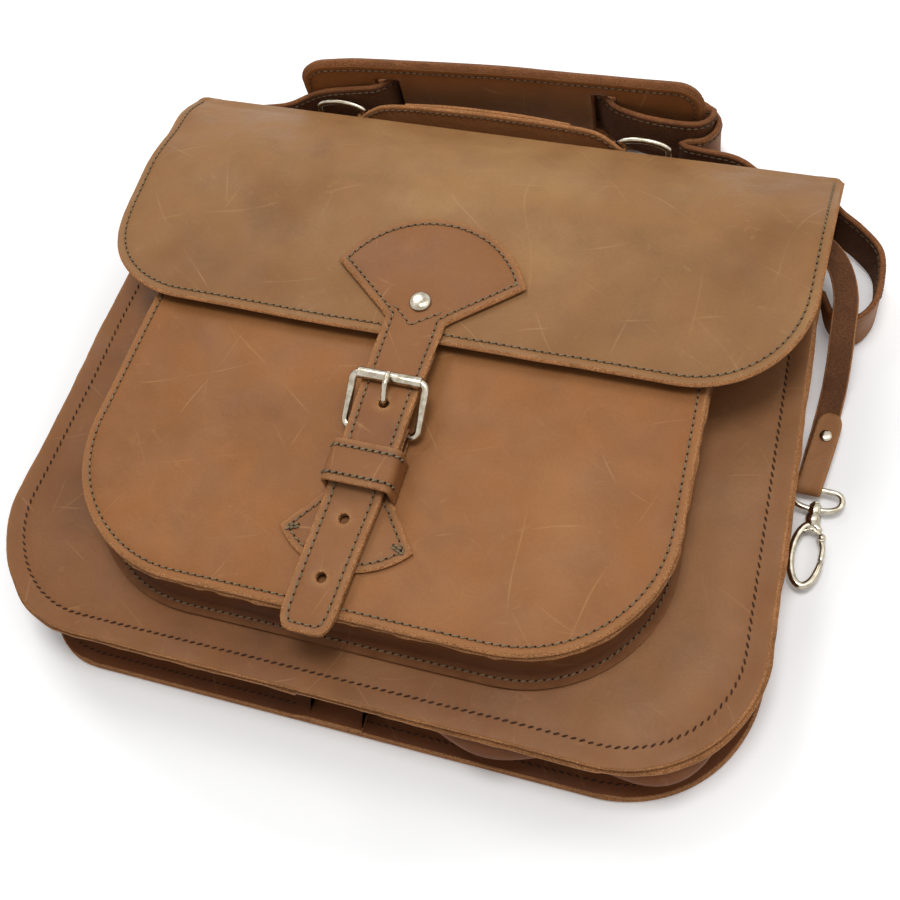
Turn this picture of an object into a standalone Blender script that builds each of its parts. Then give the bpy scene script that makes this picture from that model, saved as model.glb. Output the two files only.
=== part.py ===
# A leather satchel lying on its back, with its strap, handle and key leash beside it.
# Metres. +X to the bag's right, +Y towards the top wall and handle, +Z up out of the front.
import math

import bmesh
import bpy
from mathutils import Vector

# Bag body
bag_half_bottom = 0.170
bag_half_top = 0.158
bag_height = 0.283
bag_corner = 0.057
front_height = bag_height * 0.94700
depth_bottom = 0.037
depth_top_loss = 0.01132
leather = 0.0026
gusset_leather = 0.0022
margin = 0.012
clear = 0.0003
lap_middle = 0.012
lap_length = 0.024

# Flap and top wall
flap_half = 0.162
top_wall_half = 0.150
flap_length = bag_height * 0.46290
flap_corner = 0.050
crease_height = 0.037
flap_level = 0.0665
flap_rise_run = 0.065

# Front pocket
pocket_half_bottom = 0.129
pocket_half_top = 0.120
pocket_bottom = bag_height * 0.09541
pocket_top = bag_height * 0.79859
pocket_corner = 0.062
pocket_level = 0.064
pocket_loss_share = 0.039
pocket_margin = 0.009
pocket_flange = 0.009
pocket_sag = 0.006
pocket_leather = 0.0018

# Closure strap, its fan and the patch below
strap_width = 0.025
strap_layer = 0.0015
strap_tip = bag_height * 0.06007
fan_half = 0.0425
fan_corner_y = bag_height * 0.64664
fan_neck_y = bag_height * 0.57597
fan_arc = 0.028
hole_reach = 0.0097
hole_step = bag_height * 0.09046
hole_radius = 0.0024
patch_half = 0.0285
patch_corner_y = bag_height * 0.20848
patch_neck_y = bag_height * 0.26572
patch_arc = 0.014
patch_leather = 0.0020
keeper_width = 0.019
keeper_leather = 0.0018
keeper_room = 0.0026
keeper_y = bag_height * 0.30883

# Roller buckle
bar_y = bag_height * 0.37809
hole_first_y = bar_y + hole_reach
buckle_wire = 0.0015
buckle_reach = 0.0205
buckle_half = 0.016
chape_leather = 0.0015
chape_run = 0.022
roller_radius = 0.0025
tongue_wire = 0.0012
tongue_slot = 0.0052
wire_play = 0.0002

# Rivets
rivet_cap = 0.0048
rivet_shank = 0.0016
rivet_dome = 0.0018
small_rivet_cap = 0.0027

# Carry handle
ring_left_x = -0.089
ring_right_x = 0.067
ring_half = 0.0125
ring_reach = 0.0155
ring_wire = 0.0016
ring_height = 0.0165
ring_lean = 14
tab_width = 0.0155
tab_leather = 0.0018
tab_length = 0.014
tab_stand = 0.0024
tab_free_share = 0.55
handle_width = 0.021
handle_end = 0.0070
handle_layer = 0.0021
handle_bow = 0.0065
handle_tail = 0.015
handle_play = 0.0006

# Shoulder strap and pad
band_width = 0.025
band_leather = 0.0026
band_gap = 0.0016
pad_left = -0.101
pad_right = 0.092
pad_width = 0.050
pad_leather = 0.0052
pad_corner = 0.0130
pad_near_gap = 0.0230
pad_far_gap = 0.0325
slot_left_x = -0.066
slot_right_x = 0.044
slot_length = 0.0120
slot_height = 0.028
side_ring_half = 0.0072
side_ring_depth = 0.0086
side_ring_wire = 0.0012
side_ring_y = bag_height * 0.82686
side_tab_width = 0.0085
side_tab_length = 0.020
band_end = 0.0090
band_tail = 0.016
strap_reach_share = 1.12

# Key leash and swivel hook
leash_width = 0.0108
leash_leather = 0.0018
leash_out = 0.0075
hook_drop = 0.045
leash_fold_y = bag_height * 0.51413
leash_tab_length = 0.036
leash_lift = 0.0012
eye_half = 0.0094
eye_reach = 0.0095
eye_wire = 0.0013
collar_radius = 0.0033
collar_length = 0.0045
hook_half = 0.0062
hook_length = 0.028
hook_wire = 0.0017
gate_wire = 0.0013
gate_pin = 0.0009
gate_play = 0.00015
gate_lug = 0.0011

# How finely round shapes are cut
round_sides = 10
arc_steps = 10
bend_steps = 8


# Materials: name, colour, roughness, metallic
LOOKS = {
    "body_leather": ((0.21, 0.085, 0.042), 0.55, 0.0),
    "flap_leather": ((0.27, 0.145, 0.073), 0.60, 0.0),
    "pocket_leather": ((0.31, 0.14, 0.068), 0.55, 0.0),
    "strap_leather": ((0.25, 0.12, 0.060), 0.55, 0.0),
    "nickel": ((0.72, 0.70, 0.67), 0.25, 1.0),
    "gusset_leather": ((0.19, 0.078, 0.040), 0.58, 0.0),
}


def clear_scene():
    for thing in list(bpy.data.objects):
        bpy.data.objects.remove(thing, do_unlink=True)


def material_for(name, look):
    colour, rough, metal = LOOKS[look]
    material = bpy.data.materials.new(name + "_" + look)
    material.use_nodes = True
    shader = material.node_tree.nodes["Principled BSDF"]
    shader.inputs["Base Color"].default_value = (*colour, 1.0)
    shader.inputs["Roughness"].default_value = rough
    shader.inputs["Metallic"].default_value = metal
    return material


def place(name, solid, look, pivot=(0, 0, 0)):
    """Turns finished faces into a named object whose origin is its pivot, centred on the back panel."""
    bmesh.ops.recalc_face_normals(solid, faces=solid.faces[:])
    bmesh.ops.translate(solid, verts=solid.verts[:], vec=-Vector(pivot))
    mesh = bpy.data.meshes.new(name)
    solid.to_mesh(mesh)
    solid.free()
    thing = bpy.data.objects.new(name, mesh)
    thing.location = Vector(pivot) - Vector((0, bag_height / 2, 0))
    thing.data.materials.append(material_for(name, look))
    bpy.context.scene.collection.objects.link(thing)
    return thing


def panel(name, outline, top, thickness, rows, look, holes=(), pivot=(0, 0, 0)):
    """A sheet of leather cut to an outline, lying under the height that top(x, y) gives."""
    plan = bmesh.new()
    for loop in [outline] + list(holes):
        corners = [plan.verts.new((x, y, 0)) for x, y in loop]
        for index, corner in enumerate(corners):
            plan.edges.new((corners[index - 1], corner))
    bmesh.ops.triangle_fill(plan, edges=plan.edges[:], use_beauty=True)
    for row in rows:
        parts = plan.verts[:] + plan.edges[:] + plan.faces[:]
        bmesh.ops.bisect_plane(plan, geom=parts, plane_co=(0, row, 0), plane_no=(0, 1, 0))
    bmesh.ops.triangulate(plan, faces=plan.faces[:])
    solid = bmesh.new()
    upper = {}
    lower = {}
    for vert in plan.verts:
        x, y = vert.co.x, vert.co.y
        upper[vert] = solid.verts.new((x, y, top(x, y)))
        lower[vert] = solid.verts.new((x, y, top(x, y) - thickness))
    for face in plan.faces:
        solid.faces.new([upper[vert] for vert in face.verts])
        solid.faces.new([lower[vert] for vert in reversed(face.verts)])
    for edge in plan.edges:
        if edge.is_boundary:
            first, second = edge.verts
            solid.faces.new((upper[first], upper[second], lower[second], lower[first]))
    plan.free()
    return place(name, solid, look, pivot)


def skin(name, rings, look, closed=False, pivot=(0, 0, 0)):
    """A solid through a row of like rings, capped at both ends unless it closes on itself."""
    solid = bmesh.new()
    loops = [[solid.verts.new(point) for point in ring] for ring in rings]
    pairs = list(zip(loops, loops[1:]))
    if closed:
        pairs.append((loops[-1], loops[0]))
    for first, second in pairs:
        for index in range(len(first)):
            solid.faces.new((first[index - 1], first[index], second[index], second[index - 1]))
    if not closed:
        solid.faces.new(loops[0])
        solid.faces.new(loops[-1])
    return place(name, solid, look, pivot)


def tangents(points, closed=False):
    count = len(points)
    result = []
    for index in range(count):
        before = points[index - 1] if index or closed else points[0]
        after = points[(index + 1) % count] if index + 1 < count or closed else points[-1]
        result.append((Vector(after) - Vector(before)).normalized())
    return result


def wire_rings(points, radius, closed=False, hint=(0, 0, 1), sides=round_sides):
    """Rings of a round wire along points; hint is roughly square to the whole path."""
    rings = []
    for point, along in zip(points, tangents(points, closed)):
        side = along.cross(Vector(hint)).normalized()
        up = side.cross(along)
        turns = [2 * math.pi * step / sides for step in range(sides)]
        rings.append([Vector(point) + radius * (side * math.cos(a) + up * math.sin(a)) for a in turns])
    return rings


def band_rings(points, across, width, thickness, widths=None):
    """Rings of a flat strap along points, its width lying along across."""
    rings = []
    for index, (point, along) in enumerate(zip(points, tangents(points))):
        wide = Vector(across) - along * along.dot(Vector(across))
        wide = wide.normalized() * (widths[index] if widths else width) / 2
        thick = along.cross(wide).normalized() * thickness / 2
        centre = Vector(point)
        rings.append([centre + wide + thick, centre - wide + thick, centre - wide - thick, centre + wide - thick])
    return rings


def smooth(points, steps):
    """A Catmull-Rom curve through the points, with steps stretches between each pair."""
    ends = [2 * Vector(points[0]) - Vector(points[1])]
    spots = ends + [Vector(point) for point in points] + [2 * Vector(points[-1]) - Vector(points[-2])]
    curve = []
    for index in range(1, len(spots) - 2):
        a, b, c, d = spots[index - 1:index + 3]
        for step in range(steps):
            t = step / steps
            curve.append(0.5 * (2 * b + (c - a) * t + (2 * a - 5 * b + 4 * c - d) * t * t
                                + (3 * b - a - 3 * c + d) * t * t * t))
    curve.append(spots[-2])
    return curve


def arc(centre, radius, start, end, steps):
    """Points (x, y) on an arc, angles in degrees."""
    angles = [math.radians(start + (end - start) * step / steps) for step in range(steps + 1)]
    return [(centre[0] + radius * math.cos(a), centre[1] + radius * math.sin(a)) for a in angles]


def circle(x, y, radius):
    return arc((x, y), radius, 0, 360 - 360 / round_sides, round_sides - 1)


def front_top(x, y):
    return depth_bottom - depth_top_loss * y / bag_height


def pocket_face_top(x, y):
    return pocket_level - pocket_loss_share * (y - pocket_bottom)


def bag_half(y):
    """Half the bag's width at a height y: straight sides that draw in towards the top."""
    share = (y - bag_corner) / (bag_height - bag_corner)
    return bag_half_bottom + (bag_half_top - bag_half_bottom) * share


leash_x = max(bag_half(leash_fold_y - hook_drop), bag_half(leash_fold_y + leash_tab_length)) + leash_out


def pocket_half(y):
    low = pocket_bottom + pocket_corner
    share = (y - low) / (bag_height - low)
    return pocket_half_bottom + (pocket_half_top - pocket_half_bottom) * share


def round_bottomed(half, bottom, top, radius, inset, side_rows=2):
    """The outline of a panel with rounded bottom corners, drawn in by inset all round."""
    low = bottom + radius
    reach = half(low) - inset
    small = radius - inset
    right = arc((reach - small, low), small, -90, 0, arc_steps)
    rise = [(half(low + (top - low) * step / side_rows) - inset, low + (top - low) * step / side_rows)
            for step in range(1, side_rows + 1)]
    side = right + rise
    return side + [(-x, y) for x, y in reversed(side)]


def flap_top(x, y):
    """The flap rises from the crease over the pocket in one soft bend, then lies level."""
    share = min(1.0, max(0.0, (bag_height - y) / flap_rise_run))
    return crease_height + (flap_level - crease_height) * math.sin(share * math.pi / 2)


def strap_low(x, y):
    """Underside of the closure strap: on the flap, under the roller, over the bar, down to its tip."""
    flap_edge = bag_height - flap_length
    on_flap = flap_level + clear
    spots = [(strap_tip, tip_under), (patch_bottom - patch_leather, patch_over),
             (patch_neck_y, patch_over), (bar_y - chape_run, chape_over),
             (bar_y - strap_width / 3, bar_under), (bar_y + strap_width / 3, bar_under),
             (bar_y + buckle_reach, roller_under), (flap_edge, on_flap)]
    if y >= flap_edge:
        return on_flap + fan_drop(y)
    if y <= strap_tip:
        return tip_under
    for (y0, z0), (y1, z1) in zip(spots, spots[1:]):
        if y0 <= y <= y1:
            share = (y - y0) / (y1 - y0)
            return z0 + (z1 - z0) * share
    return on_flap


def fan_drop(y):
    """The fan's top follows the flap where that bends down to the crease."""
    return flap_top(0, y) - flap_level


# Heights worked out from the pieces below each one
tip_under = pocket_face_top(0, strap_tip) + clear
tongue_ring = buckle_wire + wire_play + tongue_wire
bar_z = pocket_face_top(0, bar_y) + clear * 2 + tongue_ring + tongue_wire
patch_bottom = patch_corner_y - patch_arc
patch_over = pocket_face_top(0, patch_bottom) + clear * 2 + patch_leather
chape_over = bar_z + buckle_wire + wire_play + chape_leather + clear
bar_under = bar_z + tongue_ring + tongue_wire + clear
roller_under = bar_under - wire_play - strap_layer / 2
strap_thick = 2 * strap_layer + clear
roller_y = bar_y + buckle_reach
roller_z = roller_under + strap_thick + clear + roller_radius
lap_left_end = lap_middle + lap_length / 2
lap_right_end = lap_middle - lap_length / 2


def bag_body():
    rows = [bag_height * share for share in (0.25, 0.5, 0.75)]
    back = round_bottomed(bag_half, 0, bag_height, bag_corner, 0)
    panel("back_panel", back, lambda x, y: leather, leather, rows, "body_leather")
    front = round_bottomed(bag_half, 0, front_height, bag_corner, 0)
    panel("front_panel", front, front_top, leather, rows, "body_leather")


def gusset_ring(x, y, out, step_in, squeeze):
    """One section of the gusset: a channel whose two flanges turn outward to the panels' edges."""
    low = leather + clear + squeeze
    high = front_top(x, y) - leather - clear - squeeze
    thick = gusset_leather
    lip = margin - clear
    inner = -step_in - thick
    profile = [(inner, low), (lip, low), (lip, low + thick), (inner + thick, low + thick),
               (inner + thick, high - thick), (lip, high - thick), (lip, high), (inner, high)]
    return [(x + out[0] * reach, y + out[1] * reach, z) for reach, z in profile]


def gusset_path(side):
    """The wall's line from the top of one side to its end past the bottom lap, with outward normals."""
    top = front_height
    outline = round_bottomed(bag_half, 0, top, bag_corner, margin, side_rows=5)
    half = outline[:len(outline) // 2]
    last = lap_left_end if side < 0 else -lap_right_end
    bottom = [(last, margin), ((last + bag_half_bottom - bag_corner) / 2, margin)]
    if side < 0:
        path = [(-x, y) for x, y in reversed(half)] + [(-(bag_half_bottom - bag_corner) / 2, margin)]
        path += [(lap_right_end - lap_length / 2, margin), (lap_right_end, margin), (last, margin)]
    else:
        path = list(reversed(half)) + [((bag_half_bottom - bag_corner) / 2, margin)]
        path += [(lap_left_end + lap_length / 2, margin), (lap_left_end, margin), (-last, margin)]
    return path


def gusset(side):
    """Half of the gusset. In the lap the right half steps inward and the left half narrows."""
    path = gusset_path(side)
    flat = tangents([Vector((x, y, 0)) for x, y in path])
    rings = []
    for (x, y), along in zip(path, flat):
        out = (along.y * side, -along.x * side)
        if out[1] > 0:
            out = (-out[0], -out[1])
        if abs(out[1]) < 0.5:
            out = (abs(out[0]) * side, out[1])
        in_lap = lap_right_end - clear <= x <= lap_left_end + clear and y < bag_corner
        tuck = gusset_leather + clear if in_lap else 0
        rings.append(gusset_ring(x, y, out, tuck if side > 0 else 0, tuck if side < 0 else 0))
    skin("gusset_left" if side < 0 else "gusset_right", rings, "gusset_leather")


def front_pocket():
    rows = [pocket_bottom + (pocket_top - pocket_bottom) * share for share in (0.33, 0.66)]
    face = round_bottomed(pocket_half, pocket_bottom, pocket_top, pocket_corner, 0)
    panel("pocket_face", face, pocket_face_top, leather, rows, "pocket_leather")
    outline = round_bottomed(pocket_half, pocket_bottom, pocket_top, pocket_corner, pocket_margin, side_rows=4)
    side = outline[:len(outline) // 2]
    wall = [(-x, y) for x, y in reversed(side)] + side
    flat = tangents([Vector((x, y, 0)) for x, y in wall])
    rings = []
    for (x, y), along in zip(wall, flat):
        out = (along.y, -along.x)
        thick = pocket_leather
        lip = pocket_margin - clear
        sag = pocket_sag * max(0.0, -out[1])
        ring = []
        for reach, level, lift in ((sag - thick, front_top, 0), (sag + pocket_flange, front_top, 0),
                                   (sag + pocket_flange, front_top, thick), (sag, front_top, thick),
                                   (0, pocket_face_top, -thick), (lip, pocket_face_top, -thick),
                                   (lip, pocket_face_top, 0), (-thick, pocket_face_top, 0)):
            px, py = x + out[0] * reach, y + out[1] * reach
            gap = clear if level is front_top else -leather - clear
            ring.append((px, py, level(px, py) + gap + lift))
        rings.append(ring)
    skin("pocket_gusset", rings, "gusset_leather")


def top_wall_and_flap():
    """The back panel's leather goes on as the top wall, then folds at the crease into the flap."""
    thick = leather
    wall_low = clear
    wall_top = crease_height - thick - clear
    rings = []
    for x in (-top_wall_half, 0, top_wall_half):
        rings.append([(x, bag_height + clear, wall_low), (x, bag_height + clear + thick, wall_low),
                      (x, bag_height + clear + thick, wall_top), (x, bag_height + clear, wall_top)])
    skin("top_wall", rings, "body_leather")
    bottom = bag_height - flap_length
    outline = round_bottomed(lambda y: flap_half, bottom, crease_y, flap_corner, 0, side_rows=1)
    run = flap_rise_run + leather
    rows = [bag_height - run * share for share in (0.0, 0.12, 0.25, 0.4, 0.55, 0.75, 1.0)]
    hole = circle(0, rivet_y, rivet_shank + wire_play)
    panel("flap", outline, flap_top, leather, rows, "flap_leather", [hole], (0, crease_y, crease_pivot_z))


crease_y = bag_height + clear + leather
crease_pivot_z = crease_height - leather - clear / 2
rivet_y = fan_neck_y + rivet_cap


def fan_outline(half, corner_y, neck_y, rise, tip, direction):
    """A fan: a neck as wide as the strap, straight flaring sides and an arced far edge."""
    neck = strap_width / 2
    corner_cut = rise / 6
    radius = (half * half + rise * rise) / (2 * rise)
    sweep = math.asin(half / radius)
    side = [(neck, tip), (neck, neck_y - direction * corner_cut), (neck + corner_cut, neck_y), (half, corner_y)]
    for step in range(1, arc_steps):
        turn = sweep * (1 - step / arc_steps)
        side.append((radius * math.sin(turn), corner_y + direction * (rise - radius + radius * math.cos(turn))))
    points = side + [(0, corner_y + direction * rise)] + [(-x, y) for x, y in reversed(side)]
    return points if direction > 0 else points[::-1]


def closure_strap():
    half = strap_width / 2
    tip = [(half / 3, strap_tip), (half * 0.85, strap_tip + half / 3), (half, strap_tip + half)]
    left_tip = [(-x, y) for x, y in reversed(tip)]
    fan = fan_outline(fan_half, fan_corner_y, fan_neck_y, fan_arc, fan_neck_y - strap_width / 2, 1)
    outline = left_tip + tip + fan
    holes = [circle(0, hole_first_y - hole_step * step, hole_radius) for step in range(4)]
    rivet_hole = circle(0, rivet_y, rivet_shank + wire_play)
    flap_edge = bag_height - flap_length
    rows = [patch_bottom - patch_leather, patch_neck_y, bar_y - chape_run, bar_y - strap_width / 3,
            bar_y + strap_width / 3, roller_y, flap_edge, bag_height - flap_rise_run]
    lift = strap_layer + clear

    def upper_top(x, y):
        return strap_low(x, y) + lift + strap_layer

    def lower_top(x, y):
        return strap_low(x, y) + strap_layer

    panel("closure_strap", outline, upper_top, strap_layer, rows, "strap_leather", holes + [rivet_hole])
    lining = left_tip + tip + [(half, flap_edge - half / 2), (-half, flap_edge - half / 2)]
    panel("strap_lining", lining, lower_top, strap_layer, rows, "strap_leather", holes)
    top = strap_low(0, rivet_y) + lift + strap_layer
    turned("strap_rivet", (0, rivet_y), rivet_profile(rivet_cap, flap_level - leather - clear, top + clear), "nickel")


def rivet_profile(cap, low, high):
    """A rivet through leather: flat foot below, shank, and a domed cap above."""
    foot = cap * 0.8
    dome = rivet_dome * cap / rivet_cap
    foot_thick = dome / 3
    return [(foot, low - foot_thick), (foot, low), (rivet_shank, low), (rivet_shank, high), (cap, high),
            (cap * 0.95, high + dome * 0.45), (cap * 0.72, high + dome * 0.8), (cap * 0.35, high + dome)]


def turned(name, centre, profile, look, pivot=None):
    """A solid turned about an upright axis from (radius, height) pairs, low end first."""
    rings = []
    for radius, height in profile:
        rings.append([(x, y, height) for x, y in circle(centre[0], centre[1], radius)])
    return skin(name, rings, look, pivot=pivot or (centre[0], centre[1], profile[0][1]))


def chape():
    """The strap that holds the buckle: folded round the bar, then sewn down under a small fan."""
    across = (1, 0, 0)
    turn = buckle_wire + wire_play + chape_leather / 2
    end = bar_y - chape_run
    low = bar_z - turn
    fold = [(bar_y + turn * math.sin(a), bar_z - turn * math.cos(a))
            for a in [math.pi * step / bend_steps for step in range(bend_steps + 1)]]
    points = [(0, end, low)] + [(0, y, z) for y, z in fold] + [(0, end, bar_z + turn)]
    loop = skin("chape_loop", band_rings(points, across, strap_width, chape_leather), "strap_leather")
    cut = bmesh.new()
    bmesh.ops.create_cube(cut, size=1)
    reach = tongue_ring + tongue_wire
    size = Vector((tongue_slot, 2 * (reach + clear), 4 * turn))
    bmesh.ops.scale(cut, vec=size, verts=cut.verts[:])
    bmesh.ops.translate(cut, verts=cut.verts[:], vec=(0, bar_y + clear, bar_z))
    cutter = place("tongue_slot_cutter", cut, "strap_leather")
    hide(cutter)
    slot = loop.modifiers.new("tongue_slot", "BOOLEAN")
    slot.object = cutter
    slot.operation = "DIFFERENCE"
    outline = fan_outline(patch_half, patch_corner_y, patch_neck_y, patch_arc, end - clear, -1)

    def patch_top(x, y):
        return pocket_face_top(x, y) + clear + patch_leather

    panel("chape_patch", outline, patch_top, patch_leather, [], "strap_leather")


def hide(cutter):
    cutter.hide_render = True
    cutter.display_type = "WIRE"


def keeper():
    """A leather bridge over the strap, its two feet sewn down on the pocket's face."""
    thick = keeper_leather
    half = strap_width / 2 + keeper_room + thick / 2
    low = pocket_face_top(0, keeper_y - keeper_width / 2) + clear
    high = strap_low(0, keeper_y + keeper_width / 2) + strap_thick + clear * 3 + thick / 2
    bend = thick
    points = [(-half, keeper_y, low)]
    corner = arc((-half + bend, high - bend), bend, 180, 90, 3)
    points += [(x, keeper_y, z) for x, z in corner] + [(-x, keeper_y, z) for x, z in reversed(corner)]
    points += [(half, keeper_y, low)]
    skin("keeper_loop", band_rings(points, (0, 1, 0), keeper_width, thick), "strap_leather")


def buckle():
    """A roller buckle: bent wire frame, a tube that turns on its far side, and a cranked tongue."""
    lean = math.atan2(roller_z - bar_z, buckle_reach)
    length = math.hypot(roller_z - bar_z, buckle_reach)
    corner = buckle_wire * 2

    def along(distance, x):
        return Vector((x, bar_y + distance * math.cos(lean), bar_z + distance * math.sin(lean)))

    outline = []
    for cx, cy, start in ((1, 1, 0), (-1, 1, 90), (-1, 0, 180), (1, 0, 270)):
        middle = (cx * (buckle_half - corner), cy * length + (corner if cy == 0 else -corner))
        outline += [along(d, x) for x, d in arc(middle, corner, start, start + 90, 4)]
    hint = (0, -math.sin(lean), math.cos(lean))
    skin("buckle_frame", wire_rings(outline, buckle_wire, True, hint), "nickel", True, (0, bar_y, bar_z))
    reach = buckle_half - corner - clear
    inner = buckle_wire + wire_play
    rings = []
    for x, radius in ((-reach, roller_radius), (reach, roller_radius), (reach, inner), (-reach, inner)):
        rings.append([(x, y, z) for y, z in circle(roller_y, roller_z, radius)])
    skin("buckle_roller", rings, "nickel", True, (0, roller_y, roller_z))
    tongue()


def tongue():
    """Wire bent round the bar, up steeply through the strap's hole and down onto the roller."""
    top = roller_z + roller_radius + clear + tongue_wire
    above = bar_under + strap_thick
    hole = hole_first_y
    lift = tongue_wire
    curl = [(bar_y + tongue_ring * math.cos(a), bar_z + tongue_ring * math.sin(a))
            for a in [math.radians(angle) for angle in (-38, -80, -125, -170, 145, 105, 72)]]
    ring_top = bar_z + tongue_ring
    reach = hole - bar_y
    points = curl + [(bar_y + reach * 0.55, ring_top - lift * 0.3), (bar_y + reach * 0.84, ring_top + lift * 0.35),
                     (hole - lift * 0.1, ring_top + lift * 1.5), (hole + lift * 0.45, above + lift * 0.6),
                     (hole + lift * 2.6, above + lift * 2.6),
                     (roller_y - roller_radius * 2, top - lift * 0.35), (roller_y, top),
                     (roller_y + roller_radius * 1.2, top - lift * 0.3)]
    spots = smooth([(0, y, z) for y, z in points], 2)
    skin("buckle_tongue", wire_rings(spots, tongue_wire, False, (1, 0, 0), 8), "nickel", pivot=(0, bar_y, bar_z))


def carve(target, tool, operation="DIFFERENCE"):
    """Cuts a tool out of a target, or joins the two, and leaves the tool out of the model."""
    hide(tool)
    change = target.modifiers.new(tool.name, "BOOLEAN")
    change.object = tool
    change.operation = operation


def box(name, centre, size):
    shape = bmesh.new()
    bmesh.ops.create_cube(shape, size=1)
    bmesh.ops.scale(shape, vec=Vector(size), verts=shape.verts[:])
    bmesh.ops.translate(shape, vec=Vector(centre), verts=shape.verts[:])
    return place(name, shape, "nickel")


def lathe(name, start, axis, profile, look, pivot=(0, 0, 0), closed=False):
    """A solid turned about any axis through start from (radius, distance) pairs."""
    axis = Vector(axis)
    side = axis.orthogonal().normalized()
    other = axis.cross(side)
    rings = []
    for radius, distance in profile:
        turns = [2 * math.pi * step / round_sides for step in range(round_sides)]
        rings.append([Vector(start) + axis * distance + radius * (side * math.cos(a) + other * math.sin(a))
                      for a in turns])
    return skin(name, rings, look, closed, pivot)


def d_outline(half, reach, corner, steps=4):
    """A D ring's centre line: bar along the first axis, arc at reach along the second."""
    points = arc((half - corner, corner), corner, -90, 0, 2)
    for step in range(steps + 1):
        angle = math.pi * step / steps
        points.append((half * math.cos(angle), reach * 0.7 + reach * 0.3 * math.sin(angle)))
    points += arc((-half + corner, corner), corner, 180, 270, 2)
    return points


# The carry handle swings on the bars of its two rings
bar_out = crease_y + clear + tab_leather + tab_stand + wire_play + ring_wire
lean_up = Vector((0, math.sin(math.radians(ring_lean)), math.cos(math.radians(ring_lean))))
lean_out = Vector((0, math.cos(math.radians(ring_lean)), -math.sin(math.radians(ring_lean))))
handle_axis = Vector((0, bar_out, ring_height))


def carry_handle():
    for side, ring_x in (("left", ring_left_x), ("right", ring_right_x)):
        centre = handle_axis + Vector((ring_x, 0, 0))
        outline = [centre + Vector((x, 0, 0)) + lean_up * v
                   for x, v in d_outline(ring_half, ring_reach, ring_wire * 1.5)]
        rings = wire_rings(outline, ring_wire, True, lean_out)
        skin("handle_ring_" + side, rings, "nickel", True, handle_axis)
        handle_tab(side, centre)
    turn = ring_wire + handle_play + handle_layer / 2
    first = ring_left_x + ring_half
    last = ring_right_x - ring_half
    low = ring_reach * 0.42

    def spot(x, out, lift=0.0):
        return Vector((x, 0, 0)) + handle_axis + lean_up * (low + lift) + lean_out * out

    points = [spot(first + handle_tail, turn)]
    widths = [handle_end]
    for x, start in ((first, 90), (last, 270)):
        angles = [math.radians(angle) for angle in (-90, -45, 0, 45, 90)]
        facing = -1 if start == 90 else 1
        turns = [(x + facing * turn * math.cos(a), facing * turn * math.sin(a)) for a in angles]
        points += [spot(px, out) for px, out in turns]
        widths += [handle_end] * len(turns)
        if start == 90:
            for share in (0.1, 0.2, 0.35, 0.5, 0.65, 0.8, 0.9):
                rise = math.sin(math.pi * share)
                points.append(spot(first + (last - first) * share, -turn, handle_bow * rise))
                widths.append(handle_end + (handle_width - handle_end) * min(1, rise * 1.8))
    points.append(spot(last - handle_tail, turn))
    widths.append(handle_end)
    outer = band_rings(points, lean_up, handle_width, handle_layer, widths)
    skin("handle_outer", outer, "strap_leather", pivot=handle_axis)
    inner = []
    inner_widths = []
    for share in (0.18, 0.35, 0.5, 0.65, 0.82):
        rise = math.sin(math.pi * share)
        x = first + (last - first) * share
        inner.append(spot(x, -turn + handle_layer + clear, handle_bow * rise))
        inner_widths.append(handle_end + (handle_width - handle_end) * min(1, rise * 1.8))
    lining = band_rings(inner, lean_up, handle_width, handle_layer, inner_widths)
    skin("handle_lining", lining, "strap_leather", pivot=handle_axis)


def handle_tab(side, centre):
    """Leather folded over the ring's bar and sewn down on the top wall."""
    turn = ring_wire + wire_play + tab_leather / 2
    angles = [math.radians(angle) for angle in (180, 135, 90, 45, 0, -40)]
    fold = [(centre.y + turn * math.cos(a), centre.z + turn * math.sin(a)) for a in angles]
    sewn = centre.z - tab_length * tab_free_share
    inner = crease_y + clear + tab_leather / 2
    outer = inner + tab_leather + clear
    points = [(centre.x, inner, centre.z - tab_length), (centre.x, inner, sewn)]
    points += [(centre.x, y, z) for y, z in fold]
    points += [(centre.x, outer, sewn), (centre.x, outer, centre.z - tab_length)]
    skin("handle_tab_" + side, band_rings(points, (1, 0, 0), tab_width, tab_leather), "strap_leather")


def pad_line(x):
    share = (x - pad_left) / (pad_right - pad_left)
    return bag_height + pad_near_gap + (pad_far_gap - pad_near_gap) * math.sin(min(1.2, share) * math.pi / 2)


def shoulder_pad():
    """A wide pad on edge with rounded corners and two slots that the strap is threaded through."""
    half = pad_width / 2
    middle = clear + half
    straight = half - pad_corner
    span = pad_right - pad_left - 2 * pad_corner
    ends = [math.radians(angle) for angle in (0, 22, 45, 67, 90)]
    stations = [(pad_left + pad_corner * (1 - math.cos(a)), straight + pad_corner * math.sin(a)) for a in ends]
    for step in range(1, bend_steps):
        stations.append((pad_left + pad_corner + span * step / bend_steps, half))
    stations += [(pad_right - pad_corner * (1 - math.cos(a)), straight + pad_corner * math.sin(a))
                 for a in reversed(ends)]
    rings = []
    for x, height in stations:
        y = pad_line(x)
        rings.append([(x, y - pad_leather / 2, middle - height), (x, y - pad_leather / 2, middle + height),
                      (x, y + pad_leather / 2, middle + height), (x, y + pad_leather / 2, middle - height)])
    pad = skin("shoulder_pad", rings, "pocket_leather")
    for side, x in (("left", slot_left_x), ("right", slot_right_x)):
        size = (slot_length, pad_leather * 3, slot_height)
        carve(pad, box("slot_cutter_" + side, (x, pad_line(x), middle), size))


def side_ring_z():
    """Middle height of the channel between the two margins beside the gusset."""
    low = leather + clear + gusset_leather
    high = front_top(0, side_ring_y) - leather - clear - gusset_leather
    return (low + high) / 2


def side_bar_x():
    return bag_half(side_ring_y) - margin + clear + side_ring_wire + wire_play + strap_layer


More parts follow.
